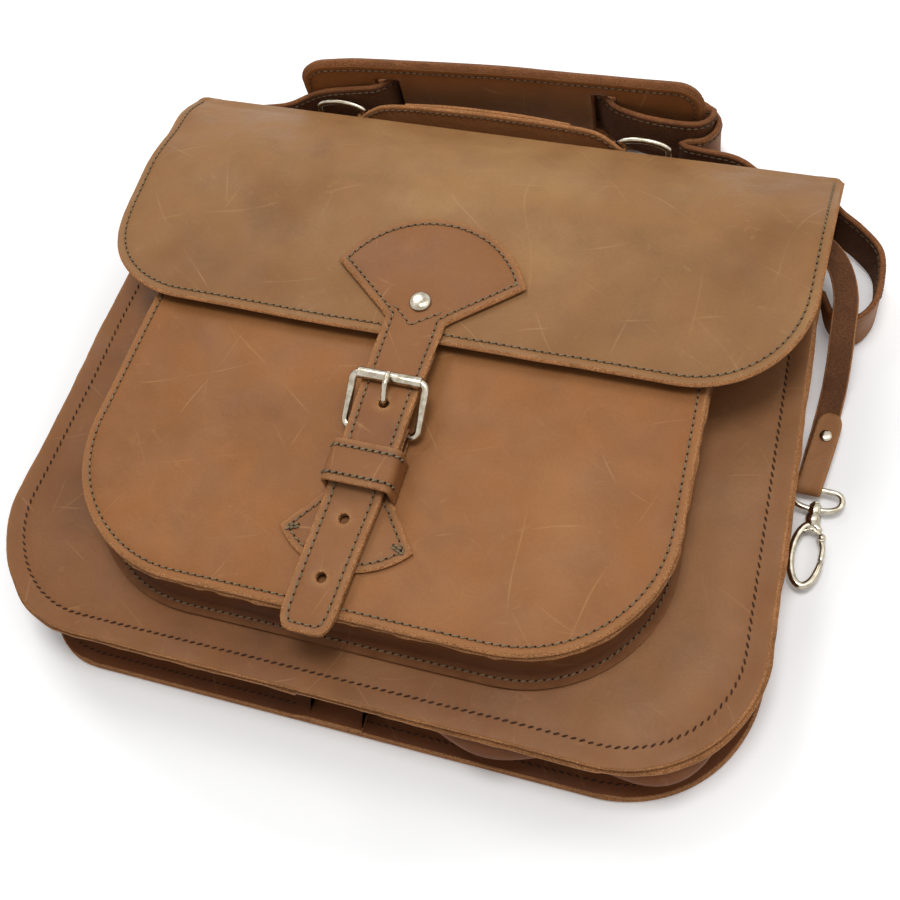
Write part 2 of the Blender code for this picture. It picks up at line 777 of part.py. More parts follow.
def side_rings():
    """A small ring beside the gusset on each side, held by a leather tab."""
    z = side_ring_z()
    turn = side_ring_wire + wire_play + strap_layer / 2
    corner = side_ring_wire * 1.5
    for name, facing in (("left", -1), ("right", 1)):
        x = side_bar_x()
        outline = []
        half = side_ring_half
        reach = side_ring_depth
        for cx, cz, start in ((reach - corner, half - corner, 0), (corner, half - corner, 90),
                              (corner, corner - half, 180), (reach - corner, corner - half, 270)):
            for px, pz in arc((cx, cz), corner, start, start + 90, 2):
                outline.append((facing * (x + px), side_ring_y, z + pz))
        skin("side_ring_" + name, wire_rings(outline, side_ring_wire, True, (0, 1, 0)), "nickel", True)
        angles = [math.radians(angle) for angle in (180, 225, 270, 315, 360)]
        fold = [(x + turn * math.cos(a), side_ring_y + turn * math.sin(a)) for a in angles]
        end = side_ring_y + side_tab_length
        points = [(x - turn, end)] + fold + [(x + turn, end)]
        points = [(facing * px, y, z) for px, y in points]
        skin("side_tab_" + name, band_rings(points, (0, 0, 1), side_tab_width, strap_layer), "strap_leather")


def strap_end(facing):
    """The strap folded round the far wire of its side ring: places and widths, tail first."""
    turn = side_ring_wire + wire_play + band_leather / 2
    x = side_bar_x() + side_ring_depth
    z = side_ring_z()
    angles = [math.radians(angle) for angle in (180, 225, 270, 315, 360)]
    if facing > 0:
        angles = [-a for a in angles]
    fold = [(x + turn * math.cos(a), side_ring_y + turn * math.sin(a)) for a in angles]
    sign = 1 if facing < 0 else -1
    points = [(x - turn, side_ring_y + sign * band_tail)] + fold
    return [(facing * px, y, z) for px, y in points]


def shoulder_strap():
    """The strap on edge: left ring, pad slots, two folds behind the pad, right ring."""
    lane = pad_leather / 2 + band_gap + band_leather / 2
    pitch = band_leather + band_gap
    high = clear + pad_width / 2
    low = clear * 3 + band_width / 2
    ring_z = side_ring_z()
    cross = slot_length * 0.28
    corner_y = bag_height + leather + band_width
    half = side_bar_x() * strap_reach_share

    def by(x, out, z):
        return (x, pad_line(x) + out, z)

    left = [(-half * x, bag_height * y, z) for x, y, z in
            ((0.921, 0.93, ring_z), (0.920, 0.985, ring_z + clear), (0.895, 1.018, low + clear * 8),
             (0.80, 1.029, low), (0.70, 1.037, low + clear * 8))]
    left.append((pad_left - band_width / 4, bag_height + pad_near_gap - lane * 0.6, (low + high) / 2))
    left.append((pad_left + band_width / 5, pad_line(pad_left) - lane * 1.1, high - band_leather))
    through = [by(slot_left_x - cross * 2.2, -lane, high), by(slot_left_x - cross * 0.7, -lane * 0.35, high),
               by(slot_left_x + cross * 0.7, lane * 0.35, high), by(slot_left_x + cross * 2.2, lane, high),
               by(0, lane, high), by(slot_right_x - cross * 2.2, lane, high),
               by(slot_right_x - cross * 0.7, lane * 0.35, high), by(slot_right_x + cross * 0.7, -lane * 0.35, high),
               by(slot_right_x + cross * 2.2, -lane, high)]
    bow = [(half * x, bag_height * y, z) for x, y, z in
           ((0.38, 1.078, high - clear * 6), (0.47, 1.070, high - clear * 15), (0.52, 1.074, low + clear * 12))]
    wrap_x = pad_right + band_gap * 1.5 + band_leather / 2
    inner = [(wrap_x, pad_line(pad_right) - lane * 0.6, low + clear * 6), (wrap_x, pad_line(pad_right) + lane * 0.5, low)]
    behind = [by(pad_right - band_width / 3, lane + pitch * 0.6, low), by(slot_right_x, lane + pitch, low),
              by(slot_left_x, lane + pitch, low), by(pad_left + band_width, lane + pitch * 1.1, low),
              by(pad_left + band_width * 0.85, lane + pitch * 1.75, low),
              by(pad_left + band_width, lane + pitch * 2.4, low),
              by(slot_left_x, lane + pitch * 2.3, low), by(slot_right_x, lane + pitch * 2.2, low),
              by(pad_right - band_width / 3, lane + pitch * 2, low)]
    outer_x = wrap_x + pitch
    outer = [(outer_x, pad_line(pad_right) + lane * 0.5, low), (outer_x + clear, corner_y - band_leather, low + clear * 9)]
    right = [(half * x, bag_height * y, z) for x, y, z in
             ((0.66, 1.052, low + clear * 4), (0.76, 1.040, low), (0.86, 1.034, low + clear * 4),
              (0.918, 1.010, low + clear * 12), (0.955, 0.972, low + clear * 12), (1.02, 0.945, low + clear * 3),
              (1.078, 0.910, low), (1.092, 0.860, low), (1.082, 0.800, low), (1.045, 0.762, low), (0.985, 0.778, low))]
    end = list(reversed(strap_end(1)))
    start = strap_end(-1)
    route = start + left + through + bow + inner + behind + outer + right + end
    narrow = [band_end] * len(start) + [band_end, band_end * 1.1, band_width * 0.8]
    widths = narrow + [band_width] * (len(route) - len(narrow) - len(end) - 1)
    widths += [band_width * 0.7] + [band_end] * len(end)
    spots = smooth(route, 2)
    fine = []
    for index in range(len(widths) - 1):
        fine += [widths[index], (widths[index] + widths[index + 1]) / 2]
    fine.append(widths[-1])
    rings = band_rings(spots, (0, 0, 1), band_width, band_leather, fine)
    skin("shoulder_strap", rings, "strap_leather")
    length = sum((after - before).length for before, after in zip(spots, spots[1:]))
    print("shoulder strap runs", round(length, 3), "m")


def leash():
    """A narrow strap sewn on under the flap, led over the shoulder strap and folded round the hook's eye."""
    thick = leash_leather
    base = clear + leash_lift + thick / 2
    on_front = front_top(0, bag_height) + clear * 3 + thick / 2 + depth_top_loss / 10
    bar_height = base + thick / 2 + wire_play + eye_wire
    turn = eye_wire + wire_play + thick / 2
    route = [(leash_x * x, bag_height * y, on_front + leather * z) for x, y, z in
             ((0.699, 0.935, 0.0), (0.796, 0.925, 0.1), (0.883, 0.900, 0.7), (0.946, 0.860, 1.3),
              (0.982, 0.805, 1.2), (0.992, 0.742, 0.1))]
    down = leash_fold_y + leash_tab_length
    route += [(leash_x, down + thick * 6.5, base + thick * 4.5), (leash_x, down + thick, base + clear),
              (leash_x, down - thick * 4, base), (leash_x, leash_fold_y, base)]
    angles = [math.radians(angle) for angle in (-45, 0, 45)]
    fold = [(leash_x, leash_fold_y - turn * math.cos(a), bar_height + turn * math.sin(a)) for a in angles]
    top = bar_height + turn
    tail = [(leash_x, leash_fold_y + leash_tab_length * share, top) for share in (0.0, 0.4, 0.82, 0.94, 1.0)]
    spots = smooth(route, 2) + [Vector(point) for point in fold + tail]
    widths = [leash_width] * (len(spots) - 2) + [leash_width * 0.8, leash_width * 0.35]
    rings = []
    for index, (point, along) in enumerate(zip(spots, tangents(spots))):
        wide = along.cross(Vector((0, 0, 1)))
        if wide.length < 0.2 or index >= len(spots) - len(fold + tail) - 3:
            wide = Vector((-1, 0, 0))
        wide = wide.normalized() * widths[index] / 2
        up = wide.cross(along).normalized() * thick / 2
        rings.append([point + wide + up, point - wide + up, point - wide - up, point + wide - up])
    strip = skin("leash", rings, "strap_leather")
    rivet_at = leash_fold_y + leash_tab_length * 0.68
    hole = lathe("leash_hole", (leash_x, rivet_at, 0), (0, 0, 1),
                 [(rivet_shank * 0.6 + wire_play, 0), (rivet_shank * 0.6 + wire_play, top + thick)], "nickel")
    carve(strip, hole)
    profile = rivet_profile(small_rivet_cap, base - thick / 2 - clear, top + thick / 2 + clear)
    profile = [(min(radius, rivet_shank * 0.6) if radius == rivet_shank else radius, z) for radius, z in profile]
    turned("leash_rivet", (leash_x, rivet_at), profile, "nickel")
    swivel_hook(bar_height)


def swivel_hook(height):
    """A D eye with a collar, and a snap hook that spins in it behind a sprung gate."""
    centre = Vector((leash_x + eye_wire, leash_fold_y, height))
    outline = [centre + Vector((x, -y, 0)) for x, y in d_outline(eye_half, eye_reach, eye_wire)]
    eye = skin("swivel_eye", wire_rings(outline, eye_wire, True, (0, 0, 1)), "nickel", True, centre)
    start = centre + Vector((0, -eye_reach + collar_length / 2, 0))
    down = (0, -1, 0)
    collar = lathe("collar_tool", start, down, [(collar_radius * 0.8, 0), (collar_radius * 0.8, collar_length)], "nickel")
    carve(eye, collar, "UNION")
    bore = hook_wire * 0.7 + wire_play
    drill = lathe("collar_bore", start, down, [(bore, -collar_length), (bore, collar_length * 2)], "nickel")
    carve(eye, drill)
    neck = collar_length + clear
    stem = hook_wire * 0.7
    profile = [(stem * 1.5, -stem), (stem * 1.5, -clear), (stem, -clear), (stem, neck), (collar_radius, neck),
               (collar_radius, neck + collar_length * 0.8), (collar_radius * 0.7, neck + collar_length * 1.2)]
    axis_point = start
    hook = lathe("hook_body", start, down, profile, "nickel", axis_point)
    top = start.y - neck - collar_length
    low = top - hook_length
    middle = (top + low) / 2
    half_long = (top - low) / 2
    def ring_spot(degrees):
        a = math.radians(degrees)
        return Vector((centre.x + hook_half * math.cos(a), middle + half_long * math.sin(a), height))

    path = [ring_spot(angle) for angle in (58, 75, 95, 120, 150, 180, 210, 240, 270, 300, 330, 350)]
    bend = skin("hook_bend", wire_rings(path, hook_wire, False, (0, 0, 1), 8), "nickel")
    carve(hook, bend, "UNION")
    first = ring_spot(38)
    last = ring_spot(-2)
    up = (0, 0, 1)
    eye_rim = gate_pin * 2
    under = gate_wire + clear
    lug = lathe("gate_lug", first, up, [(eye_rim, -under - gate_lug), (eye_rim, -under)], "nickel")
    carve(hook, lug, "UNION")
    end = path[0]
    root = (first + end) / 2 - Vector((0, 0, under + gate_lug / 2))
    arm = box("gate_arm", root, (gate_pin * 3, end.y - first.y, gate_lug))
    carve(hook, arm, "UNION")
    foot = box("gate_foot", end - Vector((0, 0, under)), (hook_wire * 1.6, hook_wire * 1.2, gate_lug * 2))
    carve(hook, foot, "UNION")
    pin = [(gate_pin, -under - clear), (gate_pin, under), (gate_pin * 1.5, under), (gate_pin * 1.2, under + clear * 2)]
    carve(hook, lathe("gate_rivet", first, up, pin, "nickel"), "UNION")
    gate_points = [first, (first + last) / 2 + Vector((clear * 2, 0, 0)), last]
    gate = skin("hook_gate", wire_rings(gate_points, gate_wire, False, up, 8), "nickel", pivot=first)
    rim = lathe("gate_eye", first, up, [(eye_rim, -gate_wire), (eye_rim, gate_wire)], "nickel")
    carve(gate, rim, "UNION")
    bore = gate_pin + gate_play
    carve(gate, lathe("gate_bore", first, up, [(bore, -under), (bore, under)], "nickel"))


def build():
    clear_scene()
    bag_body()
    gusset(-1)
    gusset(1)
    front_pocket()
    top_wall_and_flap()
    closure_strap()
    chape()
    keeper()
    buckle()
    carry_handle()
    side_rings()
    shoulder_pad()
    shoulder_strap()
    leash()


build()
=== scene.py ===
# Leather satchel: the dressed model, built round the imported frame. Lengths in the tables are millimetres,
# with y counted from the bottom edge of the panels; the frame's own y starts at the panels' middle.
import math

import bmesh
import bpy
import numpy as np
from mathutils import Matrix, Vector, geometry, noise


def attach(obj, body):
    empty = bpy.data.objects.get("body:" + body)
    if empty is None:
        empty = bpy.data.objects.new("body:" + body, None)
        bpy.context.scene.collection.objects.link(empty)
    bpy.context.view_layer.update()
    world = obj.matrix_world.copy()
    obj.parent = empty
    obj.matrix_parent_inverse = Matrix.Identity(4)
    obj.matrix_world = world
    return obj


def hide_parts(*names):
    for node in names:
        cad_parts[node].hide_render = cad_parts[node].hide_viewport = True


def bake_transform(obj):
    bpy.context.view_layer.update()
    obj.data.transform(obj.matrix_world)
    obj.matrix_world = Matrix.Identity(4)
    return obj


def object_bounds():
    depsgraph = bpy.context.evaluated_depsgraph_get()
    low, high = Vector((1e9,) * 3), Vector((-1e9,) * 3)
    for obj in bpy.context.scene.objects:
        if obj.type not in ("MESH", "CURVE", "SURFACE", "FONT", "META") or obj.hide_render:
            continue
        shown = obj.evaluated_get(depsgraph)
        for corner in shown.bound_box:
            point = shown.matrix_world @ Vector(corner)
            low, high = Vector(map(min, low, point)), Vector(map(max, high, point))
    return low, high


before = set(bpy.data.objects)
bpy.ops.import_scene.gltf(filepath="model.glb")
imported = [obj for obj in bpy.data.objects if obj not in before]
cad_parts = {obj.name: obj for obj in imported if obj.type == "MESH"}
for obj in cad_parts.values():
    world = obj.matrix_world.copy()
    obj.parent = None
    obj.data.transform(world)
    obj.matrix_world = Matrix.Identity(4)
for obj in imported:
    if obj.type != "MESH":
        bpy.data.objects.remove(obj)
cadBox = [list(corner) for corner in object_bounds()]
print("frame loaded:", len(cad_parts), "nodes")

mm = 0.001
middleY = 141.5  # the frame's origin is this far above the bottom edge


# Camera, light and floor
view = {
    "place": (0.1673, -0.2330, 0.5335),
    "right": (0.9475, 0.2772, -0.1595),
    "up": (-0.1872, 0.8851, 0.4261),
    "lens": 51.73,  # on a 36 mm sensor, from a fit to the panels' outlines
    "world": 0.30,
    "glow": (0.19, 0.42, 0.05, 1.0),  # the floor's glow: from and to what distance, and how strong at each
    "floorReach": 3.0,
    "floorDrop": 0.0002,
    "lamps": {  # place, size, power
        "key": ((0.10, 0.06, 1.60), 0.5, 10.7),  # nearly overhead, so that shadows fall to the bottom
        "side": ((-0.70, 0.78, 1.25), 0.6, 6.4),
        "fill": ((0.9, 0.3, 1.4), 1.2, 4.9),
    },
}


def linear(code):
    parts = [int(code[i:i + 2], 16) / 255 for i in (1, 3, 5)]
    return tuple(c / 12.92 if c <= 0.04045 else ((c + 0.055) / 1.055) ** 2.4 for c in parts) + (1.0,)


def grey(value):
    return (value, value, value, 1.0)


def addNode(tree, kind, links=None, stops=(), **settings):
    # one node with its settings; links maps its inputs to outputs of other nodes or to plain values,
    # and stops are the places and colours of a ramp
    node = tree.nodes.new(kind)
    for key, value in settings.items():
        setattr(node, key, value)
    for key, value in (links or {}).items():
        socket = node.inputs[key]
        if isinstance(value, bpy.types.NodeSocket):
            tree.links.new(value, socket)
        else:
            socket.default_value = value
    if stops:
        elements = node.color_ramp.elements
        elements.remove(elements[-1])
        elements[0].position, elements[0].color = stops[0]
        for place, colour in stops[1:]:
            elements.new(place).color = colour
    return node


def setCamera():
    right, up = Vector(view["right"]).normalized(), Vector(view["up"]).normalized()
    back = right.cross(up).normalized()
    up = back.cross(right)
    camera = bpy.data.objects.new("camera", bpy.data.cameras.new("camera"))
    camera.data.lens = view["lens"]
    camera.data.sensor_width = 36
    camera.data.clip_start = 0.01
    turn = camera.matrix_world.to_3x3()
    turn.col[0], turn.col[1], turn.col[2] = right, up, back
    camera.matrix_world = turn.to_4x4()
    camera.location = view["place"]
    bpy.context.scene.collection.objects.link(camera)
    bpy.context.scene.camera = camera


def seenRays(tree):
    # the rays that look at the white round the bag: straight from the camera, off metal or through glass
    path = addNode(tree, "ShaderNodeLightPath")
    seen = addNode(tree, "ShaderNodeMath", {0: path.outputs["Is Camera Ray"], 1: path.outputs["Is Glossy Ray"]},
                   operation="MAXIMUM")
    return addNode(tree, "ShaderNodeMath", {0: seen.outputs[0], 1: path.outputs["Is Transmission Ray"]},
                   operation="MAXIMUM")


def setLights():
    for name, (place, size, power) in view["lamps"].items():
        data = bpy.data.lights.new(name, "AREA")
        data.size = size
        data.energy = power
        lamp = bpy.data.objects.new(name, data)
        lamp.location = place
        lamp.rotation_euler = (-Vector(place)).to_track_quat("-Z", "Y").to_euler()
        bpy.context.scene.collection.objects.link(lamp)
    world = bpy.data.worlds.new("studio")
    bpy.context.scene.world = world
    world.use_nodes = True
    tree = world.node_tree
    tree.nodes.clear()
    seen = seenRays(tree)
    white = addNode(tree, "ShaderNodeBackground", {"Color": (1, 1, 1, 1), "Strength": 1.0})
    soft = addNode(tree, "ShaderNodeBackground", {"Color": (1, 1, 1, 1), "Strength": view["world"]})
    mix = addNode(tree, "ShaderNodeMixShader", {0: seen.outputs[0], 1: soft.outputs[0], 2: white.outputs[0]})
    addNode(tree, "ShaderNodeOutputWorld", {"Surface": mix.outputs[0]})
    bpy.context.scene.view_settings.view_transform = "Standard"


def setFloor():
    reach = view["floorReach"]
    mesh = bpy.data.meshes.new("floor")
    low = cadBox[0][2] - view["floorDrop"]
    corners = [(x * reach, y * reach, low) for x, y in ((-1, -1), (1, -1), (1, 1), (-1, 1))]
    mesh.from_pydata(corners, [], [(0, 1, 2, 3)])
    floor = bpy.data.objects.new("floor", mesh)
    bpy.context.scene.collection.objects.link(floor)
    material = bpy.data.materials.new("paleTable")
    material.use_nodes = True
    tree = material.node_tree
    tree.nodes.clear()
    # a white table; away from the bag it glows, so that it stays white there and keeps the bag's own shadow
    matt = addNode(tree, "ShaderNodeBsdfDiffuse", {"Color": linear("#FFFFFF")})
    place = addNode(tree, "ShaderNodeTexCoord").outputs["Object"]
    away = addNode(tree, "ShaderNodeVectorMath", {0: place}, operation="LENGTH").outputs["Value"]
    power = addNode(tree, "ShaderNodeMapRange", {"Value": away, **dict(enumerate(view["glow"], 1))})
    glow = addNode(tree, "ShaderNodeEmission", {"Color": (1, 1, 1, 1), "Strength": power.outputs[0]})
    seen = seenRays(tree)
    both = addNode(tree, "ShaderNodeAddShader", {0: matt.outputs[0], 1: glow.outputs[0]})
    mix = addNode(tree, "ShaderNodeMixShader", {0: seen.outputs[0], 1: matt.outputs[0], 2: both.outputs[0]})
    addNode(tree, "ShaderNodeOutputMaterial", {"Surface": mix.outputs[0]})
    floor.data.materials.append(material)


setCamera()
setLights()
setFloor()
print("camera, lights and floor set")


# Waxed pull-up cowhide: satin and softly cloudy where the wax has moved, darker and redder towards its sewn
# edges, with long fine scratches that show the pale leather under the wax.
hides = {  # deep, base, pale, burnt and scar tones, roughness
    # the palest and yellowest, rubbed by hands each time it's lifted
    "flapHide": ("#7C5532", "#946B42", "#A57D51", "#835730", "#B99265", 0.56),
    # warm tan with the most wax left, so it shines a little more
    "pocketHide": ("#80522A", "#956237", "#A67346", "#875228", "#BB8C59", 0.53),
    # quieter and browner than the pocket
    "bodyHide": ("#6B4528", "#875A37", "#986C46", "#774926", "#AB7F53", 0.55),
    # deep red brown and dull, darkened overall as painted shade for the recesses under the panels' edges that it
    # lines
    "gussetHide": ("#522C14", "#70401E", "#84522F", "#5F3417", "#96643F", 0.62),
    # the straps' own cut: even, firm and a shade darker than the pocket
    "strapHide": ("#75492A", "#8F6039", "#A4764B", "#83522E", "#BB8F5F", 0.54),
}
grain = {
    "cloud": 95.0,  # width of the wax clouds
    "mottle": 21.0,
    "pore": 1.3,  # drawn a little coarser than real so that it shows
    "crease": 7.0,
    "scuff": 7.5,
    "scratches": (  # turn in degrees, gap between lines, shift
        (20, 47.0, 0.31), (-38, 61.0, 0.77), (74, 39.0, 0.12), (118, 55.0, 0.53), (-8, 71.0, 0.9)),
    "scratchWidth": 0.75,
    "bump": 0.20,
    "sheen": 0.22,
}


def startMaterial(name):
    material = bpy.data.materials.new(name)
    material.use_nodes = True
    tree = material.node_tree
    return material, tree, tree.nodes["Principled BSDF"], addNode(tree, "ShaderNodeTexCoord").outputs["Object"]


def makeHide(name, look):
    material, tree, shader, place = startMaterial(name)
    deep, base, pale, burnt, scar = (linear(code) for code in look[:5])
    rough = look[5]
    noises = {  # width in mm, detail, distortion
        "cloud": (grain["cloud"], 3.0, 0.3),
        "mottle": (grain["mottle"], 4.0, 0.5),
        "fleck": (1.1, 2.0, 0.0),
        "burn": (grain["mottle"] * 1.6, 2.0, 0.0),
        "scuff": (grain["scuff"], 3.0, 1.5),
        "rub": (7.6, 3.0, 0.0),
        "gloss": (grain["mottle"], 4.0, 0.0),
        "fine": (grain["pore"] * 0.8, 3.0, 0.0),
        "folds": (grain["crease"], 6.0, 1.1),
    }
    pattern = {}
    for label, (width, detail, bend) in noises.items():
        spots = {"Vector": place, "Scale": 1 / (width * mm), "Detail": detail, "Distortion": bend}
        pattern[label] = addNode(tree, "ShaderNodeTexNoise", spots).outputs["Fac"]
    colour = addNode(tree, "ShaderNodeValToRGB", {"Fac": pattern["cloud"]},
                     [(0.28, deep), (0.47, base), (0.56, base), (0.74, pale)]).outputs[0]
    for label, stops in (("mottle", [(0.32, grey(0.88)), (0.5, grey(1.0)), (0.7, grey(1.07))]),
                         ("fleck", [(0.3, grey(0.93)), (0.7, grey(1.05))])):
        shade = addNode(tree, "ShaderNodeValToRGB", {"Fac": pattern[label]}, stops).outputs[0]
        colour = addNode(tree, "ShaderNodeMix", {0: 0.8, 6: colour, 7: shade}, data_type="RGBA",
                         blend_type="MULTIPLY").outputs[2]
    # layers laid over the colour, each with its tone and its cover
    near = addNode(tree, "ShaderNodeAttribute", attribute_name="edgeNear").outputs["Fac"]
    layers = []
    for label, power, tone in (("burn", 0.22, burnt), ("rub", 3.0, scar)):
        band = addNode(tree, "ShaderNodeMath", {0: near, 1: power}, operation="POWER").outputs[0]
        cover = addNode(tree, "ShaderNodeMath", {0: band, 1: pattern[label]}, operation="MULTIPLY").outputs[0]
        layers.append((cover, tone))
    # long fine scratches: bent lines in several directions, each seen only here and there
    for angle, gap, shift in grain["scratches"]:
        turned = addNode(tree, "ShaderNodeMapping", {"Vector": place, "Rotation": (0.3, 0.2, math.radians(angle)),
                                                     "Location": (shift, shift * 0.7, 0.0)}).outputs[0]
        lines = addNode(tree, "ShaderNodeTexWave", {"Vector": turned, "Scale": math.tau / (20 * gap * mm),
                                                    "Distortion": 1.7, "Detail": 1.0, "Detail Scale": 2.0},
                        wave_profile="SAW").outputs["Fac"]
        half = grain["scratchWidth"] / gap / 2
        line = addNode(tree, "ShaderNodeValToRGB", {"Fac": lines},
                       [(0.5 - half, grey(0)), (0.5, grey(1)), (0.5 + half, grey(0))]).outputs[0]
        patch = addNode(tree, "ShaderNodeTexNoise",
                        {"Vector": turned, "Scale": 1 / (gap * 0.5 * mm), "Detail": 1.5})
        where = addNode(tree, "ShaderNodeValToRGB", {"Fac": patch.outputs["Fac"]},
                        [(0.52, grey(0)), (0.68, grey(0.5))]).outputs[0]
        cover = addNode(tree, "ShaderNodeMath", {0: line, 1: where}, operation="MULTIPLY").outputs[0]
        layers.append((cover, scar))
    scuff = addNode(tree, "ShaderNodeValToRGB", {"Fac": pattern["scuff"]}, [(0.66, grey(0)), (0.74, grey(0.34))])
    layers.append((scuff.outputs[0], pale))
    for cover, tone in layers:
        colour = addNode(tree, "ShaderNodeMix", {0: cover, 6: colour, 7: tone}, data_type="RGBA").outputs[2]
    tree.links.new(colour, shader.inputs["Base Color"])
    gloss = addNode(tree, "ShaderNodeValToRGB", {"Fac": pattern["gloss"]},
                    [(0.35, grey(rough - 0.08)), (0.65, grey(rough + 0.10))]).outputs[0]
    tree.links.new(gloss, shader.inputs["Roughness"])
    shader.inputs["Specular IOR Level"].default_value = grain["sheen"]
    pores = addNode(tree, "ShaderNodeTexVoronoi", {"Vector": place, "Scale": 1 / (grain["pore"] * mm)})
    relief = addNode(tree, "ShaderNodeMath", {0: pores.outputs["Distance"], 1: 0.35, 2: pattern["fine"]},
                     operation="MULTIPLY_ADD")
    small = addNode(tree, "ShaderNodeBump", {"Height": relief.outputs[0], "Strength": grain["bump"],
                                             "Distance": 0.0004})
    large = addNode(tree, "ShaderNodeBump", {"Height": pattern["folds"], "Strength": 0.25, "Distance": 0.0014,
                                             "Normal": small.outputs[0]})
    tree.links.new(large.outputs[0], shader.inputs["Normal"])
    return material


def makeFibre(name, deep, base, pale, size, rough):
    # loose or spun fibre: matt, and uneven at the size of its strands
    material, tree, shader, place = startMaterial(name)
    fibre = addNode(tree, "ShaderNodeTexNoise", {"Vector": place, "Scale": 1 / (size * mm), "Detail": 5.0,
                                                 "Distortion": 0.6}).outputs["Fac"]
    wide = addNode(tree, "ShaderNodeTexNoise", {"Vector": place, "Scale": 1 / (14 * mm), "Detail": 2.0})
    colour = addNode(tree, "ShaderNodeValToRGB", {"Fac": fibre},
                     [(0.30, linear(deep)), (0.50, linear(base)), (0.72, linear(pale))]).outputs[0]
    shade = addNode(tree, "ShaderNodeValToRGB", {"Fac": wide.outputs["Fac"]},
                    [(0.35, grey(0.82)), (0.62, grey(1.06))])
    tinted = addNode(tree, "ShaderNodeMix", {0: 0.8, 6: colour, 7: shade.outputs[0]}, data_type="RGBA",
                     blend_type="MULTIPLY")
    tree.links.new(tinted.outputs[2], shader.inputs["Base Color"])
    shader.inputs["Roughness"].default_value = rough
    shader.inputs["Specular IOR Level"].default_value = 0.2
    bump = addNode(tree, "ShaderNodeBump", {"Height": fibre, "Strength": 0.55, "Distance": 0.0004})
    tree.links.new(bump.outputs[0], shader.inputs["Normal"])
    return material


def makeNickel(name, dull, bright, rough):
    # nickel plate over steel: bright and faintly warm, hazed by handling
    material, tree, shader, place = startMaterial(name)
    haze = addNode(tree, "ShaderNodeTexNoise", {"Vector": place, "Scale": 1 / (3 * mm), "Detail": 4.0})
    haze = haze.outputs["Fac"]
    tone = addNode(tree, "ShaderNodeValToRGB", {"Fac": haze}, [(0.35, linear(dull)), (0.7, linear(bright))])
    gloss = addNode(tree, "ShaderNodeValToRGB", {"Fac": haze},
                    [(0.3, grey(rough * 0.7)), (0.7, grey(rough * 1.5))])
    tree.links.new(tone.outputs[0], shader.inputs["Base Color"])
    tree.links.new(gloss.outputs[0], shader.inputs["Roughness"])
    shader.inputs["Metallic"].default_value = 1.0
    return material


materials = {name: makeHide(name, look) for name, look in hides.items()}
fibres = {  # deep, base and pale tones, strands' size in mm, roughness
    # the cut edges of the hides: pale, furry and quite matt
    "rawEdge": ("#7F4F2C", "#A87245", "#C8956A", 0.6, 0.85),
    # the flesh side: dark nap that gives back hardly any light
    "suedeBack": ("#573622", "#69442C", "#7B5337", 0.7, 0.95),
    # waxed khaki linen, greenish grey against the tan
    "khakiThread": ("#5F4F3A", "#877559", "#A79678", 0.35, 0.8),
    # the same linen, browned by hands
    "brownThread": ("#4E3D2B", "#695540", "#836E55", 0.35, 0.8),
    # the pad's and straps' edges, rubbed dark and close
    "darkEdge": ("#643B20", "#80502F", "#9C6A42", 0.6, 0.8),
    # thread sunk in the panels' groove, dark with wax
    "darkThread": ("#2C1B11", "#41291B", "#5A3D2A", 0.35, 0.8),
    # painted shade for the awl's holes: dark dots laid over the leather, nearly black, without any shine
    "needleHole": ("#1E120A", "#2C1A10", "#3A2417", 0.35, 0.95),
}
for fibreName, fibreLook in fibres.items():
    materials[fibreName] = makeFibre(fibreName, *fibreLook)
materials["nickelPlate"] = makeNickel("nickelPlate", "#A89D88", "#CEC6B6", 0.17)
print("materials made:", len(materials))


# Shapes from the CAD, in millimetres with y from the bottom edge
bag = {
    "halfBottom": 170.0, "halfTop": 158.0, "height": 283.0, "corner": 57.0, "frontHeight": 268.0,
    "depth": 37.0, "topLoss": 11.32,  # the front panel is this much lower at its top
    "leather": 2.6, "gusset": 2.2, "margin": 12.0, "gap": 0.3,
    "lap": (-10.0, 14.0),  # where the gusset's halves lie over each other
}
pocket = {
    "halfBottom": 129.0, "halfTop": 120.0, "bottom": 27.0, "top": 226.0, "corner": 62.0,
    "level": 64.0, "loss": 0.039,  # height of its face at the bottom, and its slope up to the top
    "margin": 9.0, "flange": 9.0, "sag": 6.0, "leather": 1.8, "torn": 1.1, "seam": 3.6,
}
flapCut = {
    "half": 162.0, "bottom": 152.0, "corner": 50.0, "creaseY": 285.9, "creaseZ": 37.0, "level": 66.5,
    "run": 65.0, "wallHalf": 150.0, "foldRadius": 5.0, "seam": 4.0, "rivetHole": 1.8,
    "bend": {"start": (0, 0.1444, 0.026), "end": (0, 0.1290, 0.039)},  # in the frame's metres
}
edge = {
    "bevel": 0.9, "drop": 0.36,  # the cut edges' raw bevel, its drop as a share of the leather
    "shoulder": 0.8, "plain": 3.2,  # rows of points further in: past the bevel, and where there's no seam
    "groove": 0.32, "grooveHalf": 0.75, "seamHalf": 0.9,
}
slump = {  # how far old leather has moved
    "swells": ((1.5, 78.0, 1.3), (0.55, 27.0, 7.7)),  # height, width, and place in the noise
    "still": (  # places without swells: x to both sides and its reach and power, then the same for y
        (0, 34, 4, 115, 105, 6),  # the buckle
        (0, math.inf, 4, 297, 16, 4),  # the handle's rings
        (160, 16, 4, 236, 34, 4),  # the side rings
    ),
    "moves": (  # the axis moved, how far, and the axes along which that comes in, from where to where
        (1, -4.5, (2, 30, 4), (1, 120, 10)),  # the back reaches further down than the front
        (0, 17.0, (2, 32, 4), (0, -112, -176), (1, 125, 15)),  # and its left corner is drawn in
        (1, 1.5, (2, 22, 32), (2, 38, 34), (1, 60, 5)),  # the front's bottom edge is pulled up
        (0, 3.2, (2, 18, 32), (0, -118, -168), (1, 190, 60)),  # and its left corner is drawn in
    ),
    "droop": 5.0, "droopIn": 3.6, "raised": 3.0,  # the flap's left side hangs, its right side stands up
}


